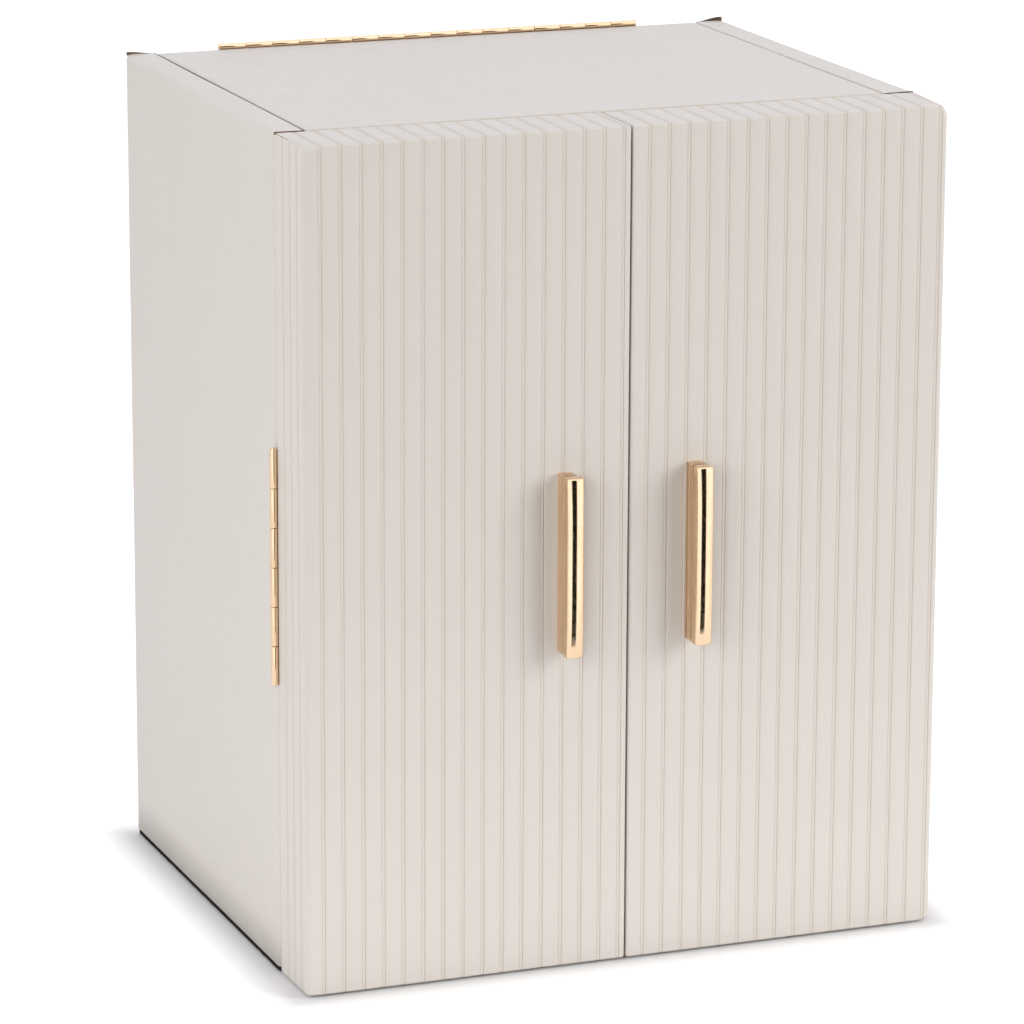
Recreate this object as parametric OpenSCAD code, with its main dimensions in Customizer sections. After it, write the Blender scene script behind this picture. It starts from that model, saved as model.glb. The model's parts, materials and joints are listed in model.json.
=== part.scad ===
// Jewelry cabinet: a flip-top case with two thick fluted front doors and four drawers.
// Every board is wrapped in leatherette. The doors turn on short butt hinges at mid height and
// the lid turns on a long piano hinge. Front is -Y, right is +X, the table is at Z = 0.

/* [Body] */
// Width across both doors
box_w = 240; // [220:1:280]
// Height from the table to the top of the lid
box_h = 302; // [290:1:330]
// Depth from the doors' front face to the back face
box_d = 202; // [190:1:240]
// Thickness of the padded leatherette on every wrapped board
wrap_t = 1; // [0.8:0.1:1.2]
// Thickness of a side board with its wrap
side_t = 11; // [11:0.5:16]
// Thickness of the back board with its wrap
back_t = 9; // [8:0.5:12]
// Thickness of the base board
base_t = 10; // [8:1:12]
// Thickness of the felt pad under the case
felt_t = 1.8; // [1.5:0.1:3]
// Distance of the felt's edge from the case's outer faces
felt_inset = 0.2; // [0.1:0.1:4]

/* [Doors] */
// Thickness of each door
door_t = 28.5; // [26:0.5:32]
// Gap between the two doors
meeting_gap = 0.8; // [0.6:0.1:1.5]
// Gap behind the doors, which holds two hinge leaves
hinge_gap = 1.3; // [1.3:0.1:1.6]
// Height of the doors' bottom edge above the table
door_clear = 0.9; // [0.5:0.1:1.5]
// Radius of each door's outer front edge
door_edge_r = 4; // [3:0.5:6]
// Width of the frame around the recess behind each door
frame_w = 9; // [8:0.5:12]
// Thickness of each door's front panel without its wrap
panel_t = 5.5; // [5:0.5:7]

/* [Grooves] */
// Distance from one embossed groove to the next
groove_pitch = 7.37; // [7:0.01:8]
// Width of a groove
groove_w = 1.1; // [0.8:0.1:1.4]
// Depth of a groove, less than the wrap's thickness
groove_d = 0.5; // [0.3:0.1:0.6]
// Distance of the left door's first groove from the middle of the box
groove_first_left = 3.1; // [2:0.1:7]
// Distance of the right door's first groove from the middle of the box
groove_first_right = 6.3; // [2:0.1:7]
// Distance of the first groove on a door's side from its front face
groove_first_side = 5.3; // [5:0.1:6]

/* [Handles] */
// Length of a bar handle
handle_len = 64.5; // [55:0.5:75]
// Distance of each handle's centre line from the middle of the box
handle_x = 24.3; // [20:0.1:30]
// Height of the handles' middle
handle_z = 149.5; // [130:0.5:170]
// Width of the stem that joins the bar to the door
stem_w = 5.6; // [5:0.1:7]
// Depth of the stem
stem_d = 6.3; // [5:0.1:8]
// Width of the front bar
bar_w = 6.4; // [5.6:0.1:8]
// Depth of the front bar at its crown
bar_d = 5.6; // [4:0.1:7]

/* [Hinges] */
// Length of each door hinge
door_hinge_len = 85; // [80:1:95]
// Knuckles on each door hinge
door_knuckles = 6; // [4:2:8]
// Barrel radius of the door hinges
door_barrel_r = 1.4; // [1.3:0.05:1.4]
// Distance of the door hinge's axis outside the side face
door_axis_out = 1.1; // [1.1:0.05:1.4]
// Length of the lid's piano hinge
lid_hinge_len = 168; // [150:1:180]
// Knuckles on the lid hinge
lid_knuckles = 16; // [12:2:20]
// Barrel radius of the lid hinge
lid_barrel_r = 1.2; // [1.1:0.05:1.2]
// Height of the lid hinge's axis above the lid's top face
lid_axis_up = 0.8; // [0.8:0.1:1]
// Thickness of a hinge leaf
leaf_t = 0.5; // [0.4:0.05:0.5]

/* [Lid and top compartment] */
// Thickness of the lid with its wrap
lid_t = 11; // [10:0.5:14]
// Gap between the lid and each side board
lid_gap = 0.5; // [0.4:0.1:1]
// Depth of the top compartment below the lid
tray_depth = 47.7; // [40:0.1:55]
// Thickness of the rail at the compartment's front
rail_t = 8; // [6:0.5:10]
// Rolls in the ring cushion
roll_count = 6; // [4:1:7]

/* [Drawers] */
// Distance of the closed drawers' fronts behind the case's front
drawer_setback = 26; // [24:1:30]
// Clearance on each side of a drawer
drawer_gap = 0.5; // [0.4:0.1:1]
// Thickness of a drawer's front
drawer_front_t = 6; // [5:0.5:8]
// Thickness of a drawer's other walls and bottom
drawer_wall_t = 3; // [2.5:0.5:4]
// Distance of each drawer knob from the middle
knob_x = 52; // [35:1:60]

/* [Hidden] */
$fn = 48;

// Colours
leatherette = [0.86, 0.84, 0.82];
velvet = [0.80, 0.75, 0.69];
fibreboard = [0.66, 0.53, 0.39];
gold = [0.90, 0.72, 0.50];
steel = [0.70, 0.70, 0.72];
felt = [0.08, 0.08, 0.08];
glass = [0.80, 0.88, 0.92];

// A cut runs this far past the face that it opens
past = 1;

// Main planes of the case and the doors
x_out = box_w / 2;
x_in = x_out - side_t;
y_front = -box_d / 2;
y_door = y_front + door_t;
y_case = y_door + hinge_gap;
y_rear = box_d / 2;
y_back = y_rear - back_t;

// Lid: it covers the rail and the back board, with a leaf's room behind it
lid_rear_gap = leaf_t + 0.3;
lid_y0 = y_case + 0.2;
lid_y1 = y_rear - lid_rear_gap;
lid_x = x_in - lid_gap;
z_lid = box_h - lid_t;
lid_lining_t = 1;
lid_edge_r = 1.2;
mirror_w = 150;
mirror_d = 118;
mirror_t = 2;
axis_y = y_rear - lid_rear_gap + leaf_t + 0.15;
axis_z = box_h + lid_axis_up;

// Top compartment, whose walls stop just under the lid
z_wall = z_lid - 0.3;
floor_t = 4;
z_tray = z_wall - tray_depth;
lining_t = 0.8;
tray_x = x_in - lining_t;
tray_y0 = y_case + rail_t + lining_t;
tray_y1 = y_back - lining_t;
divider_t = 3;
divider_h = 30;
roll_gap = 0.6;
roll_h = 24;
roll_area = 95;
roll_pitch = roll_area / roll_count;
roll_w = roll_pitch - roll_gap;
roll_end_gap = 0.6;
cross_y = tray_y0 + roll_area + roll_gap;

// Drawers, numbered from the top; each one is three nodes
drawer_count = 4;
z_base = felt_t + base_t;
shelf_t = 3;
bay_space = z_tray - floor_t - z_base - shelf_t * (drawer_count - 1);
bay_h = bay_space / drawer_count;
bay_pitch = bay_h + shelf_t;
drawer_h = bay_h - 0.8;
drawer_y0 = y_case + drawer_setback;
drawer_y1 = y_back - 1;
drawer_x = x_in - drawer_gap;
insert_wall = 3;
insert_floor = 2;
insert_h = 38;
insert_x = drawer_x - drawer_wall_t;
insert_y0 = drawer_y0 + drawer_front_t;
insert_y1 = drawer_y1 - drawer_wall_t;
// Cells across and from front to back in each drawer
cells = [[3, 2], [3, 1], [2, 1], [1, 1]];

// Doors
door_w = x_out - meeting_gap / 2;
door_h = box_h - door_clear;
small_r = 1;
recess_x0 = -x_out + frame_w;
recess_w = door_w - 2 * frame_w;
recess_y0 = y_front + wrap_t + panel_t;
recess_z0 = door_clear + frame_w;
recess_h = door_h - 2 * frame_w;
recess_x = recess_x0 + recess_w / 2;
lined_y = recess_y0 + lining_t;
pocket_w = 92;
pocket_h = 54;
pocket_d = 7;
pocket_t = 1;
pocket_z = recess_z0 + lining_t + 3;
hook_count = 5;
hook_pitch = 18;
hook_z = box_h - 37;

// Hinges
door_axis_x = -x_out - door_axis_out;
door_axis_y = (y_door + y_case) / 2;
door_hinge_z = 149.2;
pin_r = 0.6;
bore_r = 0.65;
knuckle_gap = 0.3;
leaf_start = 1.7;
door_leaf_w = 7;
lid_leaf_h = 8.5;
lid_fixed_leaf_h = 21.5;

// Screws
screw_r = 0.9;
screw_head_r = 1.6;
screw_len = 7;
screw_play = 0.05;
door_screw_x = door_axis_x + leaf_start + door_leaf_w / 2;
door_screw_pitch = 30;
lid_screw_pitch = 34;
lid_screw_z = axis_z - leaf_start - lid_leaf_h / 2;
back_screw_z = axis_z - leaf_start - lid_fixed_leaf_h + 4;
handle_screw_r = 1.5;
handle_screw_head_r = 3;
handle_screw_head_t = 1.8;
handle_screw_grip = 4;
handle_screw_pitch = 46;

// Magnets and their steel plates
magnet_r = 4;
magnet_t = 3;
magnet_x = 5;
magnet_z = box_h - 35;
plate_w = 7;
plate_h = 14;
plate_t = 0.8;

// ---- Helpers ----

// Draws its children on the left, or mirrored on the right when side is 1
module on_side(side) {
    if (side < 0) children();
    else mirror([1, 0, 0]) children();
}

// A box given by its lowest and highest corners
module span_box(low, high) {
    translate(low) cube(high - low);
}

// The waste outside an arc of radius r that rounds a corner at the origin
module corner_waste(r) {
    difference() {
        translate([-past, -past]) square([r + past, r + past]);
        translate([r, r]) circle(r);
    }
}

// A rectangle with its corners rounded: lower left, lower right, upper right, upper left
module rounded_rect(w, d, radii) {
    difference() {
        square([w, d]);
        corner_waste(radii[0]);
        translate([w, 0]) mirror([1, 0]) corner_waste(radii[1]);
        translate([w, d]) rotate(180) corner_waste(radii[2]);
        translate([0, d]) mirror([0, 1]) corner_waste(radii[3]);
    }
}

// Turns a shape drawn along +Z so that its +Z points along +Y
module along_y() {
    rotate([-90, 0, 0]) children();
}

// Turns a shape drawn along +Z so that its +Z points along +X
module along_x() {
    rotate([0, 90, 0]) children();
}

// A row of knuckles along +Z centred on the origin, where first is 0 or 1
module knuckles(length, count, first, barrel_r) {
    pitch = length / count;
    for (k = [first:2:count - 1]) {
        translate([0, 0, -length / 2 + k * pitch + knuckle_gap / 2])
            knuckle(pitch - knuckle_gap, barrel_r);
    }
}

// One knuckle with the tab that carries it on its leaf, which lies along +X beside the axis
module knuckle(length, barrel_r) {
    difference() {
        union() {
            cylinder(h = length, r = barrel_r);
            translate([pin_r + 0.3, 0.15, 0])
                cube([leaf_start - pin_r, leaf_t, length]);
        }
        translate([0, 0, -past]) cylinder(h = length + 2 * past, r = bore_r);
    }
}

// A hinge leaf with its knuckles, along +Z, with its plate on the +Y side of the axis
module hinge_leaf(length, count, first, barrel_r, width, holes, hole_x) {
    difference() {
        union() {
            knuckles(length, count, first, barrel_r);
            translate([leaf_start, 0.15, -length / 2]) cube([width, leaf_t, length]);
        }
        for (z = holes) {
            translate([hole_x, 0.15 - past, z])
                along_y() cylinder(h = leaf_t + 2 * past, r = screw_head_r + screw_play);
        }
    }
}

// A flat-headed screw along +Y whose head starts at the origin, enlarged by play for its hole
module screw(play = 0) {
    along_y() {
        cylinder(h = leaf_t, r = screw_head_r + play);
        cylinder(h = screw_len + play, r = screw_r + play);
    }
}

// ---- Places of the screws ----

// Positions along a hinge of count screws at a pitch
function screw_row(count, pitch) = [for (k = [0:count - 1]) (k - (count - 1) / 2) * pitch];

door_screws = screw_row(3, door_screw_pitch);
lid_screws = screw_row(5, lid_screw_pitch);

// The door hinge screws of the left side, into the case when towards is 1, into the door when -1
module door_screw_set(towards, play = 0) {
    for (z = door_screws) {
        translate([door_screw_x, door_axis_y + towards * 0.15, door_hinge_z + z])
            mirror([0, towards > 0 ? 0 : 1, 0]) screw(play);
    }
}

// Screws of the lid hinge's fixed leaf, driven forwards into the back board
module back_screw_set(play = 0) {
    for (x = lid_screws) {
        translate([x, y_rear + leaf_t, back_screw_z]) mirror([0, 1, 0]) screw(play);
    }
}

// Screws of the lid hinge's moving leaf, driven forwards into the lid's rear edge
module lid_screw_set(play = 0) {
    for (x = lid_screws) {
        translate([x, lid_y1 + leaf_t, lid_screw_z]) mirror([0, 1, 0]) screw(play);
    }
}

// ---- Case ----

module side_board(side) {
    color(fibreboard)
        on_side(side) difference() {
            span_box([-x_out + wrap_t, y_case + wrap_t, felt_t], [-x_in, y_rear - wrap_t, box_h - wrap_t]);
            door_screw_set(1, screw_play);
        }
}

module side_wrap(side) {
    color(leatherette)
        on_side(side) difference() {
            translate([-x_out, y_case, felt_t])
                linear_extrude(box_h - felt_t)
                    rounded_rect(side_t, y_rear - y_case, [small_r, small_r / 2, small_r / 2, small_r]);
            span_box(
                [-x_out + wrap_t, y_case + wrap_t, felt_t - past],
                [-x_in + past, y_rear - wrap_t, box_h - wrap_t]
            );
            door_screw_set(1, screw_play);
        }
}

module back_board() {
    color(fibreboard)
        difference() {
            span_box([-x_in, y_back, felt_t], [x_in, y_rear - wrap_t, z_wall]);
            back_screw_set(screw_play);
        }
}

module back_wrap() {
    color(leatherette)
        difference() {
            span_box([-x_in, y_rear - wrap_t, felt_t], [x_in, y_rear, z_wall]);
            back_screw_set(screw_play);
        }
}

module base_board() {
    color(fibreboard) span_box([-x_in, y_case, felt_t], [x_in, y_back, z_base]);
}

module base_felt() {
    radius = 4;
    width = 2 * (x_out - felt_inset);
    depth = y_rear - y_case - 2 * felt_inset;
    color(felt)
        translate([-width / 2, y_case + felt_inset, 0])
            linear_extrude(felt_t) rounded_rect(width, depth, [radius, radius, radius, radius]);
}

module front_rail() {
    color(velvet)
        difference() {
            span_box([-x_in, y_case, z_tray], [x_in, y_case + rail_t, z_wall]);
            magnet_set(screw_play);
        }
}

module compartment_floor() {
    color(velvet) span_box([-x_in, y_case, z_tray - floor_t], [x_in, y_back, z_tray]);
}

module drawer_shelves() {
    color(velvet)
        for (k = [1:drawer_count - 1]) {
            translate([0, 0, z_base + k * bay_pitch - shelf_t])
                span_box([-x_in, drawer_y0, 0], [x_in, y_back, shelf_t]);
        }
}

module compartment_lining() {
    color(velvet)
        difference() {
            span_box([-x_in, tray_y0 - lining_t, z_tray], [x_in, y_back, z_wall]);
            span_box([-tray_x, tray_y0, z_tray + lining_t], [tray_x, tray_y1, z_wall + past]);
        }
}

module compartment_dividers() {
    z_low = z_tray + lining_t;
    z_high = z_low + divider_h;
    third = (tray_y1 - tray_y0) / 3;
    color(velvet) {
        span_box([-divider_t / 2, tray_y0, z_low], [divider_t / 2, tray_y1, z_high]);
        span_box([-tray_x, cross_y, z_low], [-divider_t / 2, cross_y + divider_t, z_high]);
        for (k = [1:2]) {
            translate([0, tray_y0 + k * third, 0])
                span_box([divider_t / 2, -divider_t / 2, z_low], [tray_x, divider_t / 2, z_high]);
        }
    }
}

// One soft roll along +X with a round top
module roll(length) {
    along_x() rotate(90) linear_extrude(length) {
        translate([-roll_w / 2, 0]) square([roll_w, roll_h - roll_w / 2]);
        translate([0, roll_h - roll_w / 2]) circle(roll_w / 2);
    }
}

module ring_rolls() {
    length = tray_x - divider_t / 2 - 2 * roll_end_gap;
    color(velvet)
        for (k = [0:roll_count - 1]) {
            translate([-tray_x + roll_end_gap, tray_y0 + (k + 0.5) * roll_pitch, z_tray + lining_t])
                roll(length);
        }
}

// ---- Hinges of the case ----

// The lid hinge's frame: the hinge's length along X and its leaf hanging down behind the lid
module lid_hinge_place() {
    translate([0, axis_y, axis_z]) rotate([0, 90, 0]) children();
}

module lid_hinge_fixed_leaf() {
    color(gold)
        lid_hinge_place()
            hinge_leaf(lid_hinge_len, lid_knuckles, 0, lid_barrel_r, lid_fixed_leaf_h,
                lid_screws, axis_z - back_screw_z);
}

module lid_hinge_moving_leaf() {
    color(gold)
        lid_hinge_place() mirror([0, 1, 0])
            hinge_leaf(lid_hinge_len, lid_knuckles, 1, lid_barrel_r, lid_leaf_h,
                lid_screws, axis_z - lid_screw_z);
}

module lid_hinge_pin() {
    length = lid_hinge_len + 0.4;
    color(gold) lid_hinge_place() translate([0, 0, -length / 2]) cylinder(h = length, r = pin_r);
}

module door_hinge_fixed_leaf(side) {
    color(gold)
        on_side(side) translate([door_axis_x, door_axis_y, door_hinge_z])
            hinge_leaf(door_hinge_len, door_knuckles, 0, door_barrel_r, door_leaf_w,
                door_screws, door_screw_x - door_axis_x);
}

module door_hinge_leaf(side) {
    color(gold)
        on_side(side) translate([door_axis_x, door_axis_y, door_hinge_z]) mirror([0, 1, 0])
            hinge_leaf(door_hinge_len, door_knuckles, 1, door_barrel_r, door_leaf_w,
                door_screws, door_screw_x - door_axis_x);
}

module door_hinge_pins() {
    length = door_hinge_len + 0.4;
    color(gold)
        for (side = [-1, 1]) {
            on_side(side) translate([door_axis_x, door_axis_y, door_hinge_z - length / 2])
                cylinder(h = length, r = pin_r);
        }
}

module case_hinge_screws() {
    color(gold) {
        for (side = [-1, 1]) {
            on_side(side) door_screw_set(1);
        }
        back_screw_set();
    }
}

module lid_hinge_screws() {
    color(gold) lid_screw_set();
}

module door_hinge_screws(side) {
    color(gold) on_side(side) door_screw_set(-1);
}

// Both round magnets in the rail, enlarged by play for their pockets
module magnet_set(play = 0) {
    for (x = [-magnet_x, magnet_x]) {
        translate([x, y_case - (play > 0 ? past : 0), magnet_z])
            along_y() cylinder(h = magnet_t + (play > 0 ? past : 0), r = magnet_r + play);
    }
}

module door_magnets() {
    color(steel) magnet_set();
}

// ---- Lid ----

module lid_board() {
    color(fibreboard)
        difference() {
            span_box(
                [-lid_x + wrap_t, lid_y0 + wrap_t, z_lid + lid_lining_t],
                [lid_x - wrap_t, lid_y1 - wrap_t, box_h - wrap_t]
            );
            mirror_space(0);
            lid_screw_set(screw_play);
        }
}

module lid_wrap() {
    depth = lid_y1 - lid_y0;
    color(leatherette)
        difference() {
            translate([-lid_x, lid_y0, z_lid])
                rotate([90, 0, 90]) linear_extrude(2 * lid_x)
                    rounded_rect(depth, lid_t, [small_r / 2, small_r / 2, lid_edge_r, lid_edge_r]);
            span_box(
                [-lid_x + wrap_t, lid_y0 + wrap_t, z_lid - past],
                [lid_x - wrap_t, lid_y1 - wrap_t, box_h - wrap_t]
            );
            lid_screw_set(screw_play);
        }
}

// The space that the mirror fills in the lid's underside
module mirror_space(play) {
    y_mid = (lid_y0 + lid_y1) / 2;
    translate([0, y_mid, z_lid - (play > 0 ? past : 0)])
        span_box(
            [-mirror_w / 2, -mirror_d / 2, 0],
            [mirror_w / 2, mirror_d / 2, mirror_t + (play > 0 ? past : 0)]
        );
}

module lid_lining() {
    color(velvet)
        difference() {
            span_box(
                [-lid_x + wrap_t, lid_y0 + wrap_t, z_lid],
                [lid_x - wrap_t, lid_y1 - wrap_t, z_lid + lid_lining_t]
            );
            mirror_space(past);
        }
}

module lid_mirror() {
    color(glass) mirror_space(0);
}

// ---- Doors, drawn for the left side ----

// A door's plan, drawn from its outer front corner and inset all round
module door_outline(inset) {
    front_r = door_edge_r - inset;
    edge_r = max(small_r - inset, 0.2);
    translate([-x_out + inset, y_front + inset])
        rounded_rect(door_w - 2 * inset, door_t - 2 * inset, [front_r, edge_r, edge_r, edge_r]);
}

// The door's solid core before its recess is cut
module door_core() {
    translate([0, 0, door_clear + wrap_t])
        linear_extrude(door_h - 2 * wrap_t) door_outline(wrap_t);
}

// The recess, open at the back, made smaller by inset for the lined space
module recess(inset) {
    span_box(
        [recess_x0 + inset, recess_y0 + inset, recess_z0 + inset],
        [recess_x0 + recess_w - inset, y_door + past, recess_z0 + recess_h - inset]
    );
}

module door_board(side) {
    color(fibreboard)
        on_side(side) difference() {
            door_core();
            recess(0);
            door_screw_set(-1, screw_play);
            handle_screw_set(screw_play);
            hook_set(true);
        }
}

// Grooves down the front and over the top and bottom edges, then down the door's side
module grooves(first) {
    count = floor((door_w - door_edge_r - first) / groove_pitch);
    for (k = [0:count]) {
        translate([-first - k * groove_pitch - groove_w / 2, y_front, 0]) {
            span_box([0, -past, door_clear - past], [groove_w, groove_d, box_h + past]);
            for (z = [door_clear - past, box_h - groove_d]) {
                translate([0, 0, z]) cube([groove_w, door_t + past, groove_d + past]);
            }
        }
    }
    for (k = [0:2]) {
        translate([-x_out - past, y_front + groove_first_side + k * groove_pitch - groove_w / 2, 0])
            span_box([0, 0, door_clear - past], [past + groove_d, groove_w, box_h + past]);
    }
}

module door_wrap(side) {
    first = side < 0 ? groove_first_left : groove_first_right;
    color(leatherette)
        on_side(side) difference() {
            translate([0, 0, door_clear]) linear_extrude(door_h) door_outline(0);
            door_core();
            recess(0);
            grooves(first);
            door_screw_set(-1, screw_play);
            handle_screw_set(screw_play);
            magnet_plate_shape(true);
        }
}

module door_lining(side) {
    color(velvet)
        on_side(side) difference() {
            intersection() {
                recess(0);
                span_box([-x_out, y_front, 0], [0, y_door, box_h]);
            }
            recess(lining_t);
            hook_set(true);
        }
}

// A bar handle: a stem on the door and a wider bar with a domed crown
module door_handle(side) {
    crown = bar_d - bar_w / 2 + 0.6;
    edge_r = 1;
    color(gold)
        on_side(side) translate([-handle_x, y_front, handle_z - handle_len / 2]) difference() {
            union() {
                translate([-stem_w / 2, -stem_d, 0])
                    linear_extrude(handle_len) rounded_rect(stem_w, stem_d, [0.2, 0.2, 0.2, 0.2]);
                translate([0, -stem_d, 0])
                    linear_extrude(handle_len) bar_outline(crown, edge_r);
            }
            for (z = [-handle_screw_pitch / 2, handle_screw_pitch / 2]) {
                translate([0, past, handle_len / 2 + z]) rotate([90, 0, 0])
                    cylinder(h = handle_screw_grip + screw_play + past, r = handle_screw_r + screw_play);
            }
        }
}

// Section of the front bar: straight sides, rounded at the back, and an arc across the front
module bar_outline(side_d, edge_r) {
    rise = bar_d - side_d;
    arc_r = (rise * rise + bar_w * bar_w / 4) / (2 * rise);
    intersection() {
        translate([-bar_w / 2, -bar_d]) rounded_rect(bar_w, bar_d, [edge_r, edge_r, 0.4, 0.4]);
        translate([0, -bar_d + arc_r]) circle(arc_r, $fn = 96);
    }
}

// The two screws that hold a handle, from inside the recess, enlarged by play for their holes
module handle_screw_set(play = 0) {
    for (z = [-handle_screw_pitch / 2, handle_screw_pitch / 2]) {
        translate([-handle_x, recess_y0 + (play > 0 ? past : 0), handle_z + z])
            rotate([90, 0, 0]) {
                cylinder(
                    h = handle_screw_head_t + play + (play > 0 ? past : 0),
                    r = handle_screw_head_r + play
                );
                cylinder(
                    h = panel_t + wrap_t + handle_screw_grip + (play > 0 ? past : 0),
                    r = handle_screw_r + play
                );
            }
    }
}

module handle_screws(side) {
    color(steel) on_side(side) handle_screw_set();
}

// A row of hooks with rosettes on the lining, or the holes for their pegs
module hook_set(holes) {
    peg = 4;
    for (k = [0:hook_count - 1]) {
        translate([recess_x + (k - (hook_count - 1) / 2) * hook_pitch, lined_y, hook_z]) {
            if (holes) {
                translate([0, -peg - screw_play, 0])
                    along_y() cylinder(h = peg + past, r = 1 + screw_play);
            } else {
                translate([0, -peg, 0]) along_y() cylinder(h = peg + 0.5, r = 1);
                hook();
            }
        }
    }
}

// One hook standing out along +Y with an upturned end
module hook() {
    stem = 8;
    rise = 4;
    rod_r = 1.2;
    along_y() {
        cylinder(h = 1.2, r = 3.2);
        cylinder(h = stem, r = rod_r);
    }
    translate([0, stem, 0]) {
        sphere(rod_r);
        cylinder(h = rise, r = rod_r);
        translate([0, 0, rise]) sphere(1.7);
    }
}

module necklace_hooks(side) {
    color(gold) on_side(side) hook_set(false);
}

// A shallow pocket on the lining, open at the top
module necklace_pocket(side) {
    color(velvet)
        on_side(side) translate([recess_x, lined_y, pocket_z]) difference() {
            translate([-pocket_w / 2, 0, 0]) cube([pocket_w, pocket_d, pocket_h]);
            translate([-pocket_w / 2 + pocket_t, -past, pocket_t])
                cube([pocket_w - 2 * pocket_t, pocket_d - pocket_t + past, pocket_h]);
        }
}

// The steel plate let into the wrap of the meeting stile, or the pocket for it
module magnet_plate_shape(hole) {
    play = hole ? screw_play : 0;
    x_mid = -magnet_x;
    span_box(
        [x_mid - plate_w / 2 - play, y_door - plate_t - play, magnet_z - plate_h / 2 - play],
        [x_mid + plate_w / 2 + play, y_door + (hole ? past : 0), magnet_z + plate_h / 2 + play]
    );
}

module magnet_plate(side) {
    color(steel) on_side(side) magnet_plate_shape(false);
}

// ---- Drawers, numbered from 1 at the top ----

// Lowest level of a drawer
function drawer_z(n) = z_base + (drawer_count - n) * bay_pitch + 0.2;

module drawer_box(n) {
    z_low = drawer_z(n);
    color(leatherette)
        difference() {
            span_box([-drawer_x, drawer_y0, z_low], [drawer_x, drawer_y1, z_low + drawer_h]);
            span_box(
                [-insert_x, insert_y0, z_low + drawer_wall_t],
                [insert_x, insert_y1, z_low + drawer_h + past]
            );
            knob_set(n, true);
        }
}

// The velvet insert: a tray of equal cells
module drawer_insert(n) {
    z_low = drawer_z(n) + drawer_wall_t;
    across = cells[n - 1][0];
    deep = cells[n - 1][1];
    cell_w = (2 * insert_x - insert_wall * (across + 1)) / across;
    cell_d = (insert_y1 - insert_y0 - insert_wall * (deep + 1)) / deep;
    color(velvet)
        difference() {
            span_box([-insert_x, insert_y0, z_low], [insert_x, insert_y1, z_low + insert_h]);
            for (i = [0:across - 1], j = [0:deep - 1]) {
                translate([
                    -insert_x + insert_wall + i * (cell_w + insert_wall),
                    insert_y0 + insert_wall + j * (cell_d + insert_wall),
                    z_low + insert_floor
                ])
                    cube([cell_w, cell_d, insert_h]);
            }
        }
}

// Both knobs of a drawer, or the holes for their studs
module knob_set(n, holes) {
    z_mid = drawer_z(n) + drawer_h / 2;
    stud_r = 1.5;
    stud = drawer_front_t - 1;
    for (x = [-knob_x, knob_x]) {
        translate([x, drawer_y0, z_mid]) {
            if (holes) {
                translate([0, -past, 0])
                    along_y() cylinder(h = stud + past + screw_play, r = stud_r + screw_play);
            } else {
                along_y() cylinder(h = stud, r = stud_r);
                rotate([90, 0, 0]) knob();
            }
        }
    }
}

// A turned knob along +Z: a foot, a waist and a domed head
module knob() {
    rotate_extrude() {
        square([3.2, 1.2]);
        square([1.8, 5]);
        intersection() {
            translate([0, 4.4]) square([5, 4.6]);
            translate([0, 2.4]) circle(6.6, $fn = 96);
        }
    }
}

module drawer_knobs(n) {
    color(gold) knob_set(n, false);
}

// ---- Nodes ----

side_board(-1);  // side_board_left
side_board(1);  // side_board_right
side_wrap(-1);  // side_wrap_left
side_wrap(1);  // side_wrap_right
back_board();
back_wrap();
base_board();
base_felt();
front_rail();
compartment_floor();
drawer_shelves();
compartment_lining();
compartment_dividers();
ring_rolls();
lid_hinge_fixed_leaf();
lid_hinge_pin();
door_hinge_fixed_leaf(-1);  // door_hinge_fixed_leaf_left
door_hinge_fixed_leaf(1);  // door_hinge_fixed_leaf_right
door_hinge_pins();
case_hinge_screws();
door_magnets();
lid_board();
lid_wrap();
lid_lining();
lid_mirror();
lid_hinge_moving_leaf();
lid_hinge_screws();
door_board(-1);  // door_board_left
door_board(1);  // door_board_right
door_wrap(-1);  // door_wrap_left
door_wrap(1);  // door_wrap_right
door_lining(-1);  // door_lining_left
door_lining(1);  // door_lining_right
door_handle(-1);  // door_handle_left
door_handle(1);  // door_handle_right
handle_screws(-1);  // handle_screws_left
handle_screws(1);  // handle_screws_right
necklace_hooks(-1);  // necklace_hooks_left
necklace_hooks(1);  // necklace_hooks_right
necklace_pocket(-1);  // necklace_pocket_left
necklace_pocket(1);  // necklace_pocket_right
door_hinge_leaf(-1);  // door_hinge_leaf_left
door_hinge_leaf(1);  // door_hinge_leaf_right
door_hinge_screws(-1);  // door_hinge_screws_left
door_hinge_screws(1);  // door_hinge_screws_right
magnet_plate(-1);  // magnet_plate_left
magnet_plate(1);  // magnet_plate_right
drawer_box(1);  // drawer_box_1
drawer_box(2);  // drawer_box_2
drawer_box(3);  // drawer_box_3
drawer_box(4);  // drawer_box_4
drawer_insert(1);  // drawer_insert_1
drawer_insert(2);  // drawer_insert_2
drawer_insert(3);  // drawer_insert_3
drawer_insert(4);  // drawer_insert_4
drawer_knobs(1);  // drawer_knobs_1
drawer_knobs(2);  // drawer_knobs_2
drawer_knobs(3);  // drawer_knobs_3
drawer_knobs(4);  // drawer_knobs_4
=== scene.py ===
"""Looks of a tabletop jewelry cabinet: leatherette doors with embossed grooves, gold handles and hinges."""

import json
import math

import bmesh
import bpy
from mathutils import Matrix, Vector, noise


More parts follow.
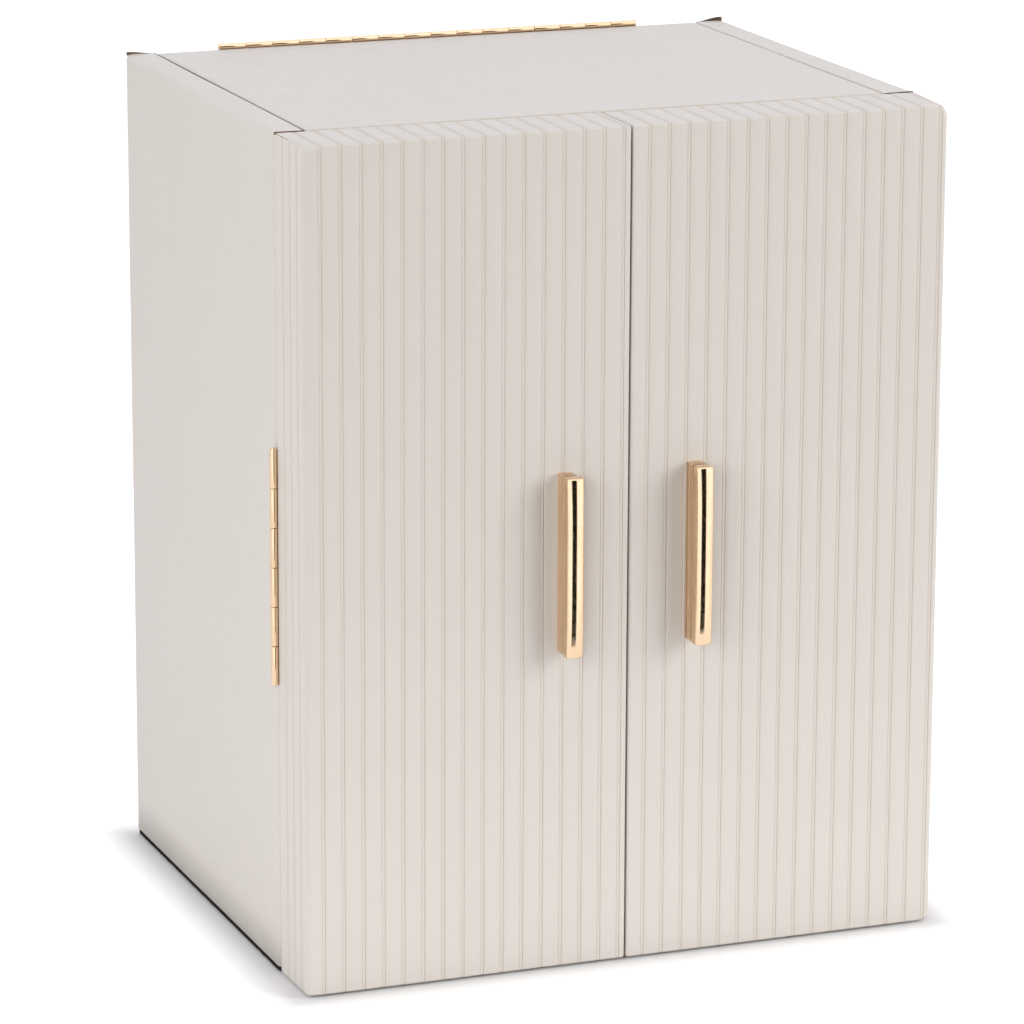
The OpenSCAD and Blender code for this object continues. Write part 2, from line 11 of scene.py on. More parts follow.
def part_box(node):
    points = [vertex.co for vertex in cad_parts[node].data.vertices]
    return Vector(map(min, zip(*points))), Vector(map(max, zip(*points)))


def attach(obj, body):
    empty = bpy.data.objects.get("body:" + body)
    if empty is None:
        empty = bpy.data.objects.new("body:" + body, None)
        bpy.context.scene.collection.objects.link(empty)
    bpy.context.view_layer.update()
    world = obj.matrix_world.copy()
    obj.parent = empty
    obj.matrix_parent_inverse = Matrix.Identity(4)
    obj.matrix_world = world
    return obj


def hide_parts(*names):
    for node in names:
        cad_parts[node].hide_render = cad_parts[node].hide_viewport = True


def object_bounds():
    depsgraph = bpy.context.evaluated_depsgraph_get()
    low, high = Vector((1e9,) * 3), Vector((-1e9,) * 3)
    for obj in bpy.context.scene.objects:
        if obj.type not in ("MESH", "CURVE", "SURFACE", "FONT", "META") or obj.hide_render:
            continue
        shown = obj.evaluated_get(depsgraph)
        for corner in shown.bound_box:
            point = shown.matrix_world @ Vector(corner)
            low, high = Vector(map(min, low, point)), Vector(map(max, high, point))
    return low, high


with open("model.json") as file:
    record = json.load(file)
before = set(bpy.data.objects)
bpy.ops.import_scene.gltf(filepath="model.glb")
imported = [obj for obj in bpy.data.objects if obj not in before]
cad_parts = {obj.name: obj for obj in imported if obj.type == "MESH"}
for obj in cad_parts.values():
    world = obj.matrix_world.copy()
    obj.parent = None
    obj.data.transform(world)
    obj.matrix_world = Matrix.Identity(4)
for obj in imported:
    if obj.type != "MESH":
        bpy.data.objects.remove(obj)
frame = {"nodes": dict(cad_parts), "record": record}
cad_low, cad_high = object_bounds()

MM = 0.001
SIDES = {"left": -1, "right": 1}
UP = Vector((0, 0, 1))
# Steps of a quarter turn, for roundings
QUARTER = [math.radians(22.5 * k) for k in range(5)]


# ---- Meshes ----

def adjust(thing, **settings):
    """Gives a thing these settings and returns it."""
    for key, value in settings.items():
        setattr(thing, key, value)
    return thing


def finish_mesh(name, bm, material, sharp_angle=38):
    """Turns bm into an object with smooth shading that stays sharp at corners."""
    mesh = bpy.data.meshes.new(name)
    bm.to_mesh(mesh)
    bm.free()
    mesh.materials.append(material)
    for polygon in mesh.polygons:
        polygon.use_smooth = True
    mesh.set_sharp_from_angle(angle=math.radians(sharp_angle))
    piece = bpy.data.objects.new(name, mesh)
    bpy.context.scene.collection.objects.link(piece)
    return piece


def place(piece, body, slot, *nodes):
    """The piece rides on a body and stands for CAD nodes, which it hides; its slot is not used."""
    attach(piece, body)
    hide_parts(*nodes)


def build(name, bm, body, slot, *nodes, sharp=50, material=None, skin=0):
    """A placed piece from bm in its slot's material, or another, with a skin of this thickness."""
    piece = finish_mesh(name, bm, material or MATERIALS[slot], sharp)
    if skin:
        thicken(piece, skin)
    place(piece, body, slot, *nodes)


def for_side(bm, side):
    """Mirrors a mesh made for the left side when it is meant for the right."""
    if side == "right":
        bmesh.ops.scale(bm, vec=(-1, 1, 1), verts=bm.verts)
        bmesh.ops.reverse_faces(bm, faces=bm.faces)


def thicken(piece, thickness, offset=-1):
    """Gives a skin its thickness, inwards or, with offset 1, outwards."""
    adjust(piece.modifiers.new("Thickness", "SOLIDIFY"), thickness=thickness, offset=offset)


def ease(t):
    """A smooth step from 0 to 1."""
    t = min(max(t, 0), 1)
    return t * t * (3 - 2 * t)


def spread(low, high, count):
    """count points evenly inside low and high, without the ends."""
    return [low + (high - low) * (k + 1) / (count + 1) for k in range(count)]


def circle(count):
    """Points round a unit circle."""
    angles = [2 * math.pi * k / count for k in range(count)]
    return [(math.cos(a), math.sin(a)) for a in angles]


def edge_samples(low, high, corner_r, edge_r, inner):
    """Places from low to high: inner ones, or this many, and close ones near both ends for rounded corners
    and edges."""
    inner = inner if isinstance(inner, list) else spread(low, high, inner)
    near = {0.0}
    for k in range(5):
        near.add(corner_r * (1 - math.tan(math.pi / 16 * k)))
        near.add(edge_r * (1 - math.cos(QUARTER[k])))
    reach = max(corner_r, edge_r)
    near = sorted(n for n in near if n <= reach)
    kept = [a for a, b in zip(near, near[1:] + [9.0]) if b - a > 0.04 * MM]
    middle = [x for x in inner if low + reach < x < high - reach]
    return [low + n for n in kept] + middle + [high - n for n in reversed(kept)]


def plan_point(x, y, low, high, radii):
    """Where a point of a rectangle goes when its corners are rounded, the normal of the rim there
    and the distance from the rim. radii: front left, front right, back right, back left."""
    corners = ((low.x, low.y, -1, -1), (high.x, low.y, 1, -1), (high.x, high.y, 1, 1), (low.x, high.y, -1, 1))
    for (corner_x, corner_y, out_x, out_y), radius in zip(corners, radii):
        centre = Vector((corner_x - out_x * radius, corner_y - out_y * radius, 0))
        arm = Vector(((x - centre.x) * out_x, (y - centre.y) * out_y))
        if arm.x > 0 and arm.y > 0:
            reach = max(arm)
            arm.normalize()
            normal = Vector((arm.x * out_x, arm.y * out_y, 0))
            return centre + normal * reach, normal, radius - reach
    gaps = {(-1, 0): x - low.x, (1, 0): high.x - x, (0, -1): y - low.y, (0, 1): high.y - y}
    nearest = min(gaps, key=gaps.get)
    return Vector((x, y, 0)), Vector((*nearest, 0)), gaps[nearest]


def board_skin(low, high, radii, edge_low, edge_high, xs, ys, rows, sink=None, skip=None, painted_gap_shade=None):
    """The skin of a rounded board over a grid of xs and ys. edge_low and edge_high, numbers or functions of
    x and y, are the radii of its lower and upper edges, sink(x, y, normal) is how deep a groove is,
    skip(side, centre) opens it and the last function, of x and y, is how much painted shadow of a gap
    its rounded upper edge gets there."""
    bm = bmesh.new()
    painted_shade = bm.verts.layers.float.new("painted_shade")
    last_i, last_j, top = len(xs) - 1, len(ys) - 1, len(rows) + 1
    verts = {}

    def add(key, x, y, point, normal):
        depth = sink(x, y, normal) if sink else 0.0
        verts[key] = bm.verts.new(point - normal * depth)
        # Painted shade: the groove's depth, stronger on faces that point up or to -x, plus painted shadow of
        # a gap on rounded upper edges.
        edge_shade = 4 * normal.z * (1 - normal.z) * painted_gap_shade(x, y) if painted_gap_shade and normal.z > 0 else 0.0
        verts[key][painted_shade] = depth / DEEPEST_CREASE * (1 + max(normal.z, -normal.x, 0)) + edge_shade

    for i, x in enumerate(xs):
        for j, y in enumerate(ys):
            flat, rim_normal, gap = plan_point(x, y, low, high, radii)
            for k, edge, face_z, up in ((0, edge_low, low.z, -1), (top, edge_high, high.z, 1)):
                radius = edge(x, y) if callable(edge) else edge
                lean = min(max((radius - gap) / radius, 0), 1)
                rise = math.sqrt(1 - lean * lean)
                normal = rim_normal * lean + Vector((0, 0, up * rise))
                z = face_z - up * radius * (1 - rise)
                add((i, j, k), x, y, Vector((flat.x, flat.y, z)), normal)
            if i in (0, last_i) or j in (0, last_j):
                for k, z in enumerate(rows):
                    add((i, j, k + 1), x, y, Vector((flat.x, flat.y, z)), rim_normal)

    def face(side, *keys):
        corners = [verts[key] for key in keys]
        centre = sum((v.co for v in corners), Vector()) / 4
        if skip is None or not skip(side, centre):
            bm.faces.new(corners)

    for k in range(top):
        for i in range(last_i):
            face("front", (i, 0, k), (i + 1, 0, k), (i + 1, 0, k + 1), (i, 0, k + 1))
            face("back", (i + 1, last_j, k), (i, last_j, k), (i, last_j, k + 1), (i + 1, last_j, k + 1))
        for j in range(last_j):
            face("right", (last_i, j, k), (last_i, j + 1, k), (last_i, j + 1, k + 1), (last_i, j, k + 1))
            face("left", (0, j + 1, k), (0, j, k), (0, j, k + 1), (0, j + 1, k + 1))
    for i in range(last_i):
        for j in range(last_j):
            face("top", (i, j, top), (i + 1, j, top), (i + 1, j + 1, top), (i, j + 1, top))
            face("bottom", (i, j + 1, 0), (i + 1, j + 1, 0), (i + 1, j, 0), (i, j, 0))
    bmesh.ops.delete(bm, geom=[v for v in bm.verts if not v.link_faces], context="VERTS")
    return bm


def open_below(face, centre):
    """Leaves out a board's underside."""
    return face == "bottom"


def fillet_outline(corners, steps=4):
    """A closed outline from corners (x, y, radius), anticlockwise from above, with its outward normals."""
    points = []
    for k, (x, y, radius) in enumerate(corners):
        corner = Vector((x, y))
        back = (Vector(corners[k - 1][:2]) - corner).normalized()
        ahead = (Vector(corners[(k + 1) % len(corners)][:2]) - corner).normalized()
        if radius == 0:
            points.append(corner)
            continue
        half = back.angle(ahead) / 2
        centre = corner + (back + ahead).normalized() * radius / math.sin(half)
        start = corner + back * radius / math.tan(half) - centre
        end = corner + ahead * radius / math.tan(half) - centre
        for step in range(steps + 1):
            points.append(centre + start.lerp(end, step / steps).normalized() * radius)
    normals = []
    for k, point in enumerate(points):
        along = (points[(k + 1) % len(points)] - points[k - 1]).normalized()
        normals.append(Vector((along.y, -along.x)))
    return list(zip(points, normals))


def skin_grid(bm, grid, flip=False):
    """Faces between the neighbouring points of a grid."""
    for column, beyond in zip(grid, grid[1:]):
        for j in range(len(column) - 1):
            corners = (column[j], beyond[j], beyond[j + 1], column[j + 1])
            bm.faces.new((corners[0], *reversed(corners[1:])) if flip else corners)


def skin_rings(bm, rings, ends=True):
    """Joins rings of points into a tube and closes its ends."""
    for a, b in zip(rings, rings[1:]):
        for k in range(len(a)):
            bm.faces.new((a[k - 1], a[k], b[k], b[k - 1]))
    if ends:
        bm.faces.new(list(reversed(rings[0])))
        bm.faces.new(rings[-1])
    bmesh.ops.recalc_face_normals(bm, faces=bm.faces)


def sweep(bm, spine, section, beside=None, ends=True):
    """A tube along the (point, width, height) of its spine. Each (a, b) of its section lies a widths beside
    the point and b heights above it. Above is Z, or square to beside where that is given."""
    last = len(spine) - 1
    rings = []
    for k, (point, width, height) in enumerate(spine):
        along = (spine[min(k + 1, last)][0] - spine[max(k - 1, 0)][0]).normalized()
        across = along.cross(UP).normalized() if beside is None else beside
        above = UP if beside is None else along.cross(beside)
        rings.append([bm.verts.new(point + across * width * a + above * height * b) for a, b in section])
    skin_rings(bm, rings, ends)


def loft(bm, outline, z_low, z_high, end_r, rows=(), shape=None):
    """A closed solid from an outline swept along Z, with its ends rounded by end_r; shape(point) may move
    each point."""
    levels = [(z_low + end_r, -a) for a in reversed(QUARTER)] + [(z, 0) for z in rows]
    levels += [(z_high - end_r, a) for a in QUARTER]
    rings = []
    for middle, angle in levels:
        inset, height = end_r * (1 - math.cos(angle)), middle + end_r * math.sin(angle)
        ring = []
        for point, normal in outline:
            flat = point - normal * inset
            spot = Vector((flat.x, flat.y, height))
            ring.append(bm.verts.new(shape(spot) if shape else spot))
        rings.append(ring)
    skin_rings(bm, rings)


def turned(bm, profile, matrix, segments=32):
    """A solid of revolution about local Z from (radius, z) points that start and end on the axis."""
    rings = []
    for radius, z in profile:
        points = [(radius * a, radius * b, z) for a, b in circle(segments if radius else 1)]
        rings.append([bm.verts.new(matrix @ Vector(point)) for point in points])
    for a, b in zip(rings, rings[1:]):
        for k in range(segments):
            corners = (a[k % len(a)], a[(k + 1) % len(a)], b[(k + 1) % len(b)], b[k % len(b)])
            bm.faces.new(list(dict.fromkeys(corners)))
    bmesh.ops.recalc_face_normals(bm, faces=bm.faces)


def ripple(bm, amount, size, seed):
    """A slight unevenness of the padding under a wrap."""
    bm.normal_update()
    offset = Vector((seed, 2.3 * seed, 0.7 * seed))
    for v in bm.verts:
        v.co += v.normal * amount * noise.noise(v.co / size + offset)


class Tree:
    """Makes and links the nodes of one node tree."""

    def __init__(self, tree):
        self.nodes, self.links = tree.nodes, tree.links

    def put(self, kind, inputs=None, **settings):
        """A node whose inputs, by name or number, take a value or another node's output."""
        node = adjust(self.nodes.new(kind), **settings)
        self.feed(node, inputs or {})
        return node

    def feed(self, node, inputs):
        for key, value in inputs.items():
            if isinstance(value, bpy.types.NodeSocket):
                self.links.new(value, node.inputs[key])
            else:
                node.inputs[key].default_value = value

    def span(self, value, low, high, to_low=0.0, to_high=1.0, **settings):
        """value between low and high becomes a number between to_low and to_high."""
        numbers = {"Value": value, "From Min": low, "From Max": high, "To Min": to_low, "To Max": to_high}
        return self.put("ShaderNodeMapRange", numbers, **settings).outputs["Result"]

    def math(self, operation, a, b):
        return self.put("ShaderNodeMath", {0: a, 1: b}, operation=operation).outputs[0]

    def blend(self, factor, a, b):
        """Number a where factor is 0 and b where it is 1."""
        return self.put("ShaderNodeMix", {0: factor, 2: a, 3: b}).outputs[0]

    def vector_math(self, operation, a, b=None):
        inputs = {0: a} if b is None else {0: a, 1: b}
        return self.put("ShaderNodeVectorMath", inputs, operation=operation).outputs


def smooth_by_angle(limit=32):
    """A node group that shades a mesh smooth where its faces meet at less than limit degrees."""
    group = bpy.data.node_groups.new("smooth_by_angle", "GeometryNodeTree")
    for direction in ("INPUT", "OUTPUT"):
        group.interface.new_socket("Geometry", in_out=direction, socket_type="NodeSocketGeometry")
    tree = Tree(group)
    angle = tree.put("GeometryNodeInputMeshEdgeAngle").outputs[0]
    sharp = tree.math("GREATER_THAN", angle, math.radians(limit))
    faces = tree.put("GeometryNodeSetShadeSmooth", {0: tree.put("NodeGroupInput").outputs[0]})
    edges = {0: faces.outputs[0], "Selection": sharp, "Shade Smooth": False}
    smooth = tree.put("GeometryNodeSetShadeSmooth", edges, domain="EDGE")
    tree.put("NodeGroupOutput", {0: smooth.outputs[0]})
    return group


SMOOTHING = smooth_by_angle()


def break_edges(piece, width, merge_flats=True):
    """Breaks a hard piece's edges with a small rounding, all by modifiers."""
    stack = piece.modifiers
    adjust(stack.new("Weld", "WELD"), merge_threshold=0.00001)
    if merge_flats:
        flats = stack.new("Flats", "DECIMATE")
        adjust(flats, decimate_type="DISSOLVE", angle_limit=math.radians(0.8))
    bevel = stack.new("Edges", "BEVEL")
    adjust(bevel, limit_method="ANGLE", angle_limit=math.radians(34), width=width, segments=3)
    adjust(stack.new("Smooth", "NODES"), node_group=SMOOTHING)


# ---- Materials ----

class Shader(Tree):
    """A node material around one Principled shader."""

    def __init__(self, name, color, roughness, metallic=0.0):
        self.material = bpy.data.materials.new(name)
        self.material.use_nodes = True
        super().__init__(self.material.node_tree)
        self.color = color
        self.bsdf = self.nodes["Principled BSDF"]
        self.set({"Base Color": (*color, 1), "Roughness": roughness, "Metallic": metallic})
        self.coords = self.put("ShaderNodeTexCoord").outputs["Object"]

    def set(self, inputs):
        self.feed(self.bsdf, inputs)

    def noise(self, size, detail=3.0, roughness=0.55, stretch=(1, 1, 1)):
        """Noise whose lumps are about size metres across."""
        spot = self.put("ShaderNodeMapping", {"Scale": stretch, "Vector": self.coords}).outputs[0]
        inputs = {"Scale": 1 / size, "Detail": detail, "Roughness": roughness, "Vector": spot}
        return self.put("ShaderNodeTexNoise", inputs).outputs["Fac"]

    def patches(self, size, detail, roughness=0.55):
        """Noise with stronger contrast, from 0 to 1."""
        return self.span(self.noise(size, detail, roughness), 0.3, 0.7)

    def cells(self, size):
        """Distance to the border of pebbles about size metres across."""
        inputs = {"Scale": 1 / size, "Vector": self.coords}
        return self.put("ShaderNodeTexVoronoi", inputs, feature="DISTANCE_TO_EDGE").outputs["Distance"]

    def painted_shade(self):
        """How much painted shade a point of the mesh carries, for the depth of a crease or the shadow of a
        gap, from 0 to 1.
        """
        return self.put("ShaderNodeAttribute", attribute_name="painted_shade").outputs["Fac"]

    def shade(self, factor):
        """The shader's own colour, lighter or darker."""
        return tuple(channel * factor for channel in self.color)

    def blend_colors(self, factor, a, b):
        """Colour a where factor is 0 and b where it is 1."""
        a, b = ((*color, 1) if isinstance(color, tuple) else color for color in (a, b))
        return self.put("ShaderNodeMix", {0: factor, 6: a, 7: b}, data_type="RGBA").outputs[2]

    def paint(self, factor, a, b):
        self.set({"Base Color": self.blend_colors(factor, a, b)})

    def bump(self, height, distance, strength=1.0, normal=None):
        """A bump of this height in metres, on top of another one where its normal is given."""
        below = {} if normal is None else {"Normal": normal}
        inputs = {"Height": height, "Distance": distance, "Strength": strength, **below}
        bumped = self.put("ShaderNodeBump", inputs).outputs[0]
        self.set({"Normal": bumped})
        return bumped


def leatherette_material():
    """Matte off-white leatherette with a fine pebble grain, darker with painted shade in its embossed creases
    and beside gaps.
    """
    s = Shader("leatherette", (0.65, 0.61, 0.562), 0.42)
    base = s.blend_colors(s.patches(0.035, 4), s.shade(0.985), s.shade(1.015))
    fine = s.span(s.noise(0.0011, 4, 0.7), 0.25, 0.75)
    base = s.blend_colors(fine, s.shade(0.97), base)
    # Painted shade: creases and the edges beside gaps turn tan where the mesh carries shade.
    s.paint(s.span(s.painted_shade(), 0.12, 1.0, 0, 0.75), base, (0.49, 0.385, 0.27))
    grain = s.math("MINIMUM", s.cells(0.0009), 0.28)
    soft = s.bump(s.noise(0.006, 3), 0.00012, 0.35)
    s.bump(s.math("ADD", grain, s.math("MULTIPLY", s.noise(0.0006, 2), 0.5)), 0.00006, 0.5, soft)
    s.set({"Roughness": s.span(s.noise(0.004, 3), 0.3, 0.7, 0.38, 0.5)})
    return s.material


def raw_edge_and_shadow_material():
    """The dark brown woven backing that shows where leatherette is cut, also used for dark strips of painted
    shadow in gaps.
    """
    s = Shader("leatherette_backing_and_gap_shadow", (0.07, 0.045, 0.03), 0.9)
    thread = s.blend_colors(s.patches(0.0007, 3, 0.7), (0.03, 0.022, 0.018), (0.12, 0.08, 0.05))
    s.paint(s.span(s.noise(0.006, 2), 0.35, 0.65), thread, (0.2, 0.135, 0.085))
    s.bump(s.noise(0.0004, 2, 0.7), 0.00006, 0.6)
    return s.material


def gold_material():
    """Polished rose gold plating with faint fine scratches, with painted shade in the handles' necks."""
    s = Shader("rose_gold", (0.87, 0.645, 0.42), 0.12, 1.0)
    plating = s.blend_colors(s.patches(0.012, 3), (0.84, 0.615, 0.39), (0.89, 0.67, 0.45))
    # Painted shade: dark brown in the handles' necks, where the mesh carries shade.
    s.paint(s.painted_shade(), plating, (0.42, 0.26, 0.13))
    s.set({"Roughness": s.span(s.noise(0.0025, 5, 0.7), 0.3, 0.75, 0.07, 0.2)})
    s.bump(s.noise(0.0012, 3, 0.6, (1, 1, 0.12)), 0.00001, 0.08)
    return s.material


def steel_material():
    """Zinc-plated steel of screws, magnets and plates."""
    s = Shader("steel", (0.58, 0.58, 0.6), 0.3, 1.0)
    s.paint(s.patches(0.003, 3), (0.5, 0.5, 0.52), (0.64, 0.64, 0.65))
    s.set({"Roughness": s.span(s.noise(0.0015, 4), 0.3, 0.7, 0.22, 0.42)})
    return s.material


def velvet_material():
    """Short beige pile with a soft sheen and brushed patches."""
    s = Shader("velvet", (0.52, 0.44, 0.36), 0.95)
    brushed = s.span(s.noise(0.016, 4, 0.6), 0.32, 0.68)
    base = s.blend_colors(brushed, s.shade(0.86), s.shade(1.08))
    s.paint(s.patches(0.00045, 3, 0.8), s.shade(0.8), base)
    s.bump(s.noise(0.0004, 2, 0.8), 0.0001, 0.5)
    s.set({"Sheen Weight": 0.6, "Sheen Roughness": 0.4, "Specular IOR Level": 0.2})
    s.set({"Sheen Tint": (1.0, 0.94, 0.86, 1)})
    return s.material


def fibreboard_material():
    """Pressed wood fibre of the boards' cores."""
    s = Shader("fibreboard", (0.37, 0.26, 0.16), 0.85)
    s.paint(s.patches(0.0012, 5, 0.8), (0.28, 0.19, 0.11), (0.46, 0.33, 0.21))
    s.bump(s.noise(0.0008, 4, 0.8), 0.0001, 0.5)
    return s.material


def felt_material():
    """Black felt of the pad under the case."""
    s = Shader("black_felt", (0.012, 0.012, 0.013), 0.98)
    s.paint(s.patches(0.0007, 4, 0.8), (0.006, 0.006, 0.007), (0.026, 0.025, 0.025))
    s.bump(s.noise(0.0005, 3, 0.8), 0.0002, 0.7)
    s.set({"Specular IOR Level": 0.1})
    return s.material


def mirror_material():
    """Silvered glass with a trace of haze."""
    s = Shader("mirror", (0.93, 0.95, 0.95), 0.02, 1.0)
    s.set({"Roughness": s.span(s.noise(0.03, 4), 0.35, 0.75, 0.008, 0.05)})
    s.paint(s.patches(0.08, 2), (0.90, 0.93, 0.93), (0.95, 0.96, 0.96))
    return s.material


MATERIALS = {
    "leatherette": leatherette_material(),
    "velvet": velvet_material(),
    "fibreboard": fibreboard_material(),
    "gold_metal": gold_material(),
    "steel": steel_material(),
    "base_felt": felt_material(),
    "mirror": mirror_material(),
}
RAW_EDGE_AND_SHADOW = raw_edge_and_shadow_material()

# Rounding of the edges that CAD nodes keep, by the start of their names
BROKEN_EDGES = {
    "door_hinge": 0.22 * MM, "lid_hinge": 0.28 * MM, "case_hinge": 0.2 * MM, "handle_screws": 0.25 * MM,
    "door_magnets": 0.3 * MM, "magnet_plate": 0.2 * MM, "lid_mirror": 0.5 * MM, "base_board": 0.6 * MM,
    "front_rail": 0.7 * MM, "drawer_shelves": 0.5 * MM, "compartment_floor": 0.4 * MM, "back_board": 0.6 * MM,
}


def finish_cad_nodes():
    """Every CAD node gets the material of its slot in the record, and hard ones lose their sharp edges."""
    slots = {part["node"]: part["material_slot"] for part in frame["record"]["subparts"]}
    for name, node in frame["nodes"].items():
        node.data.materials.clear()
        node.data.materials.append(MATERIALS[slots[name]])
        for start, width in BROKEN_EDGES.items():
            if name.startswith(start):
                break_edges(node, width, merge_flats="leaf" not in name)


# ---- Doors ----

GROOVE_PITCH = 7.37 * MM
FIRST_GROOVE = {"left": 3.1 * MM, "right": 6.3 * MM}
FIRST_SIDE_GROOVE = 5.3 * MM
SIDE_GROOVES = 3
# Section of a groove: two creases with a band between them, the right one deeper
GROOVE = [
    (-0.85, 0.0), (-0.7, 0.02), (-0.56, 0.15), (-0.42, 0.05), (0.0, 0.03),
    (0.4, 0.05), (0.56, 0.23), (0.76, 0.07), (1.0, 0.0),
]
DEEPEST_CREASE = 0.23 * MM
DOOR_FRONT_R = 2.1 * MM
DOOR_EDGE_R = 0.8 * MM
# Added to the radius of the upper and lower edges at a door's outer side
DOOR_OUTER_TOP_R = {"left": 1.9 * MM, "right": 3.3 * MM}
DOOR_OUTER_FOOT_R = 0.7 * MM
# How far from the back the outer edges grow to those radii
DOOR_ROUNDING_REACH = 28 * MM
DOOR_BOARD_T = 5.2 * MM
DOOR_BOARD_INSET = 1.02 * MM
WRAP_T = 0.9 * MM


def door_shape(side, inset):
    """The corners, corner radii, edge radius rules and recess of the left door, shrunk by inset."""
    low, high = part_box("door_wrap_left")
    hole_low, hole_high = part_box("door_lining_left")
    radii = [DOOR_FRONT_R - inset, *[max(DOOR_EDGE_R - inset, 0.3 * MM)] * 3]

    def edge(outer_r):
        def radius(x, y):
            outward = ease(1 - (x - low.x) / (6 * MM)) * ease((high.y - y) / DOOR_ROUNDING_REACH)
            return max(DOOR_EDGE_R + outer_r * outward - inset, 0.3 * MM)
        return radius

    def in_recess(face, centre):
        inside_x = hole_low.x < centre.x < hole_high.x
        return face == "back" and inside_x and hole_low.z < centre.z < hole_high.z

    margin = Vector((inset, inset, inset))
    edges = edge(DOOR_OUTER_FOOT_R), edge(DOOR_OUTER_TOP_R[side])
    return low + margin, high - margin, hole_low, hole_high, radii, edges, in_recess


def door_core(side):
    """A door's board under its wrap: a tray whose recess opens at the back."""
    low, high, hole_low, hole_high, radii, edges, in_recess = door_shape(side, DOOR_BOARD_INSET)
    inner_x = [hole_low.x, *spread(hole_low.x, hole_high.x, 3), hole_high.x]
    xs = edge_samples(low.x, high.x, radii[0], radii[1], inner_x)
    ys = edge_samples(low.y, high.y, radii[0], radii[1], 4)
    rows = [hole_low.z, *spread(hole_low.z, hole_high.z, 3), hole_high.z]
    bm = board_skin(low, high, radii, *edges, xs, ys, rows, None, in_recess)
    for_side(bm, side)
    build("door_core_" + side, bm, "door_" + side, "fibreboard", "door_board_" + side, skin=DOOR_BOARD_T)


def groove_samples(centres, flip):
    """Places across the grooves, and two flat ones between them, with how deep each is sunk."""
    found = {}
    for centre in centres:
        for offset, sink in GROOVE:
            found[round(centre + flip * offset * MM, 7)] = sink * MM
    for a, b in zip(centres, centres[1:]):
        for between in spread(a, b, 4)[1:-1]:
            found[round(between, 7)] = 0.0
    return found


def door_wrap(side):
    """A door's leatherette: embossed grooves down the front, over the edges and round the outer side."""
    low, high, hole_low, hole_high, radii, edges, in_recess = door_shape(side, 0)
    centres = []
    x = -FIRST_GROOVE[side]
    while x > low.x + DOOR_FRONT_R + 1 * MM:
        centres.append(x)
        x -= GROOVE_PITCH
    across = groove_samples(sorted(centres), -SIDES[side])
    along = groove_samples([low.y + FIRST_SIDE_GROOVE + k * GROOVE_PITCH for k in range(SIDE_GROOVES)], 1)
    xs = edge_samples(low.x, high.x, DOOR_FRONT_R, DOOR_EDGE_R, sorted([*across, hole_low.x, hole_high.x]))
    inner_y = sorted([*along, *spread(max(along), high.y, 3)])
    ys = edge_samples(low.y, high.y, DOOR_FRONT_R, DOOR_EDGE_R, inner_y)
    rows = [hole_low.z] + spread(hole_low.z, hole_high.z, 13) + [hole_high.z]

    def sink(x, y, normal):
        down_front = across.get(round(x, 7), 0) * max(-normal.y, abs(normal.z))
        return down_front + along.get(round(y, 7), 0) * max(-normal.x, 0)

    # Painted shadow of the gap behind the door, on its rear upper edge.
    def painted_gap_shade(x, y):
        return 0.8 if y > high.y - 1 * MM else 0.0

    bm = board_skin(low, high, radii, *edges, xs, ys, rows, sink, in_recess, painted_gap_shade)
    ripple(bm, 0.09 * MM, 0.05, {"left": 3.0, "right": 11.0}[side])
    for_side(bm, side)
    build("door_cover_" + side, bm, "door_" + side, "leatherette", "door_wrap_" + side, skin=WRAP_T)


# ---- Case and lid ----

# A raw edge's section, flat below and rounded above
STRIP_SECTION = ((-0.5, 0), (-0.5, 0.6), (-0.3, 0.95), (0.3, 0.95), (0.5, 0.6), (0.5, 0))
# Where the dashes of a door's seam start and end, in millimetres from the back
SEAM_DASHES = {
    "left": ((0.6, 2.4), (3.0, 4.3), (5.2, 7.6), (8.3, 9.0), (10.2, 12.4)),
    "right": ((0.6, 1.7),),
}


def side_wrap(side):
    """A side board's leatherette, turned over its front, rear and upper edges."""
    low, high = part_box("side_wrap_left")
    high.x += 0.12 * MM
    outer_r, inner_r = 1.6 * MM, 0.6 * MM
    xs = edge_samples(low.x, high.x, outer_r, inner_r, 5)
    ys = edge_samples(low.y, high.y, outer_r, inner_r, 26)
    rows = spread(low.z + 4 * MM, high.z - 4 * MM, 24)

    def edge(x, y):
        return inner_r + 0.9 * MM * ease(1 - (x - low.x) / (4 * MM)) * ease((y - low.y) / (10 * MM))

    # Painted shadow of the gap beside the lid, on the board's inner upper edge, weaker on the right.
    def painted_gap_shade(x, y):
        return {"left": 0.9, "right": 0.3}[side] if x > high.x - 1 * MM else 0.0

    radii = (outer_r, inner_r, inner_r, outer_r)
    bm = board_skin(low, high, radii, 0.4 * MM, edge, xs, ys, rows, None, open_below, painted_gap_shade)
    ripple(bm, 0.1 * MM, 0.06, {"left": 5.0, "right": 17.0}[side])
    for_side(bm, side)
    node = "side_wrap_" + side
    build("side_cover_" + side, bm, "case", "leatherette", node, sharp=60, skin=WRAP_T)


def lid_wrap():
    """The lid's leatherette, open underneath where the lining is set in."""
    low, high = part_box("lid_wrap")
    corner_r = 1.3 * MM
    xs = edge_samples(low.x, high.x, corner_r, corner_r, 26)
    ys = edge_samples(low.y, high.y, corner_r, corner_r, 22)
    rows = spread(low.z + 2 * MM, high.z - 2 * MM, 3)

    # Painted shadow of the gaps round the lid, on all its upper edges but the rear one.
    def painted_gap_shade(x, y):
        return 0.9 if y < high.y - 2 * MM else 0.0

    bm = board_skin(low, high, [corner_r] * 4, 0.5 * MM, 1.2 * MM, xs, ys, rows, None, open_below, painted_gap_shade)
    ripple(bm, 0.1 * MM, 0.06, 23.0)
    build("lid_cover", bm, "lid", "leatherette", "lid_wrap", sharp=60, skin=WRAP_T)


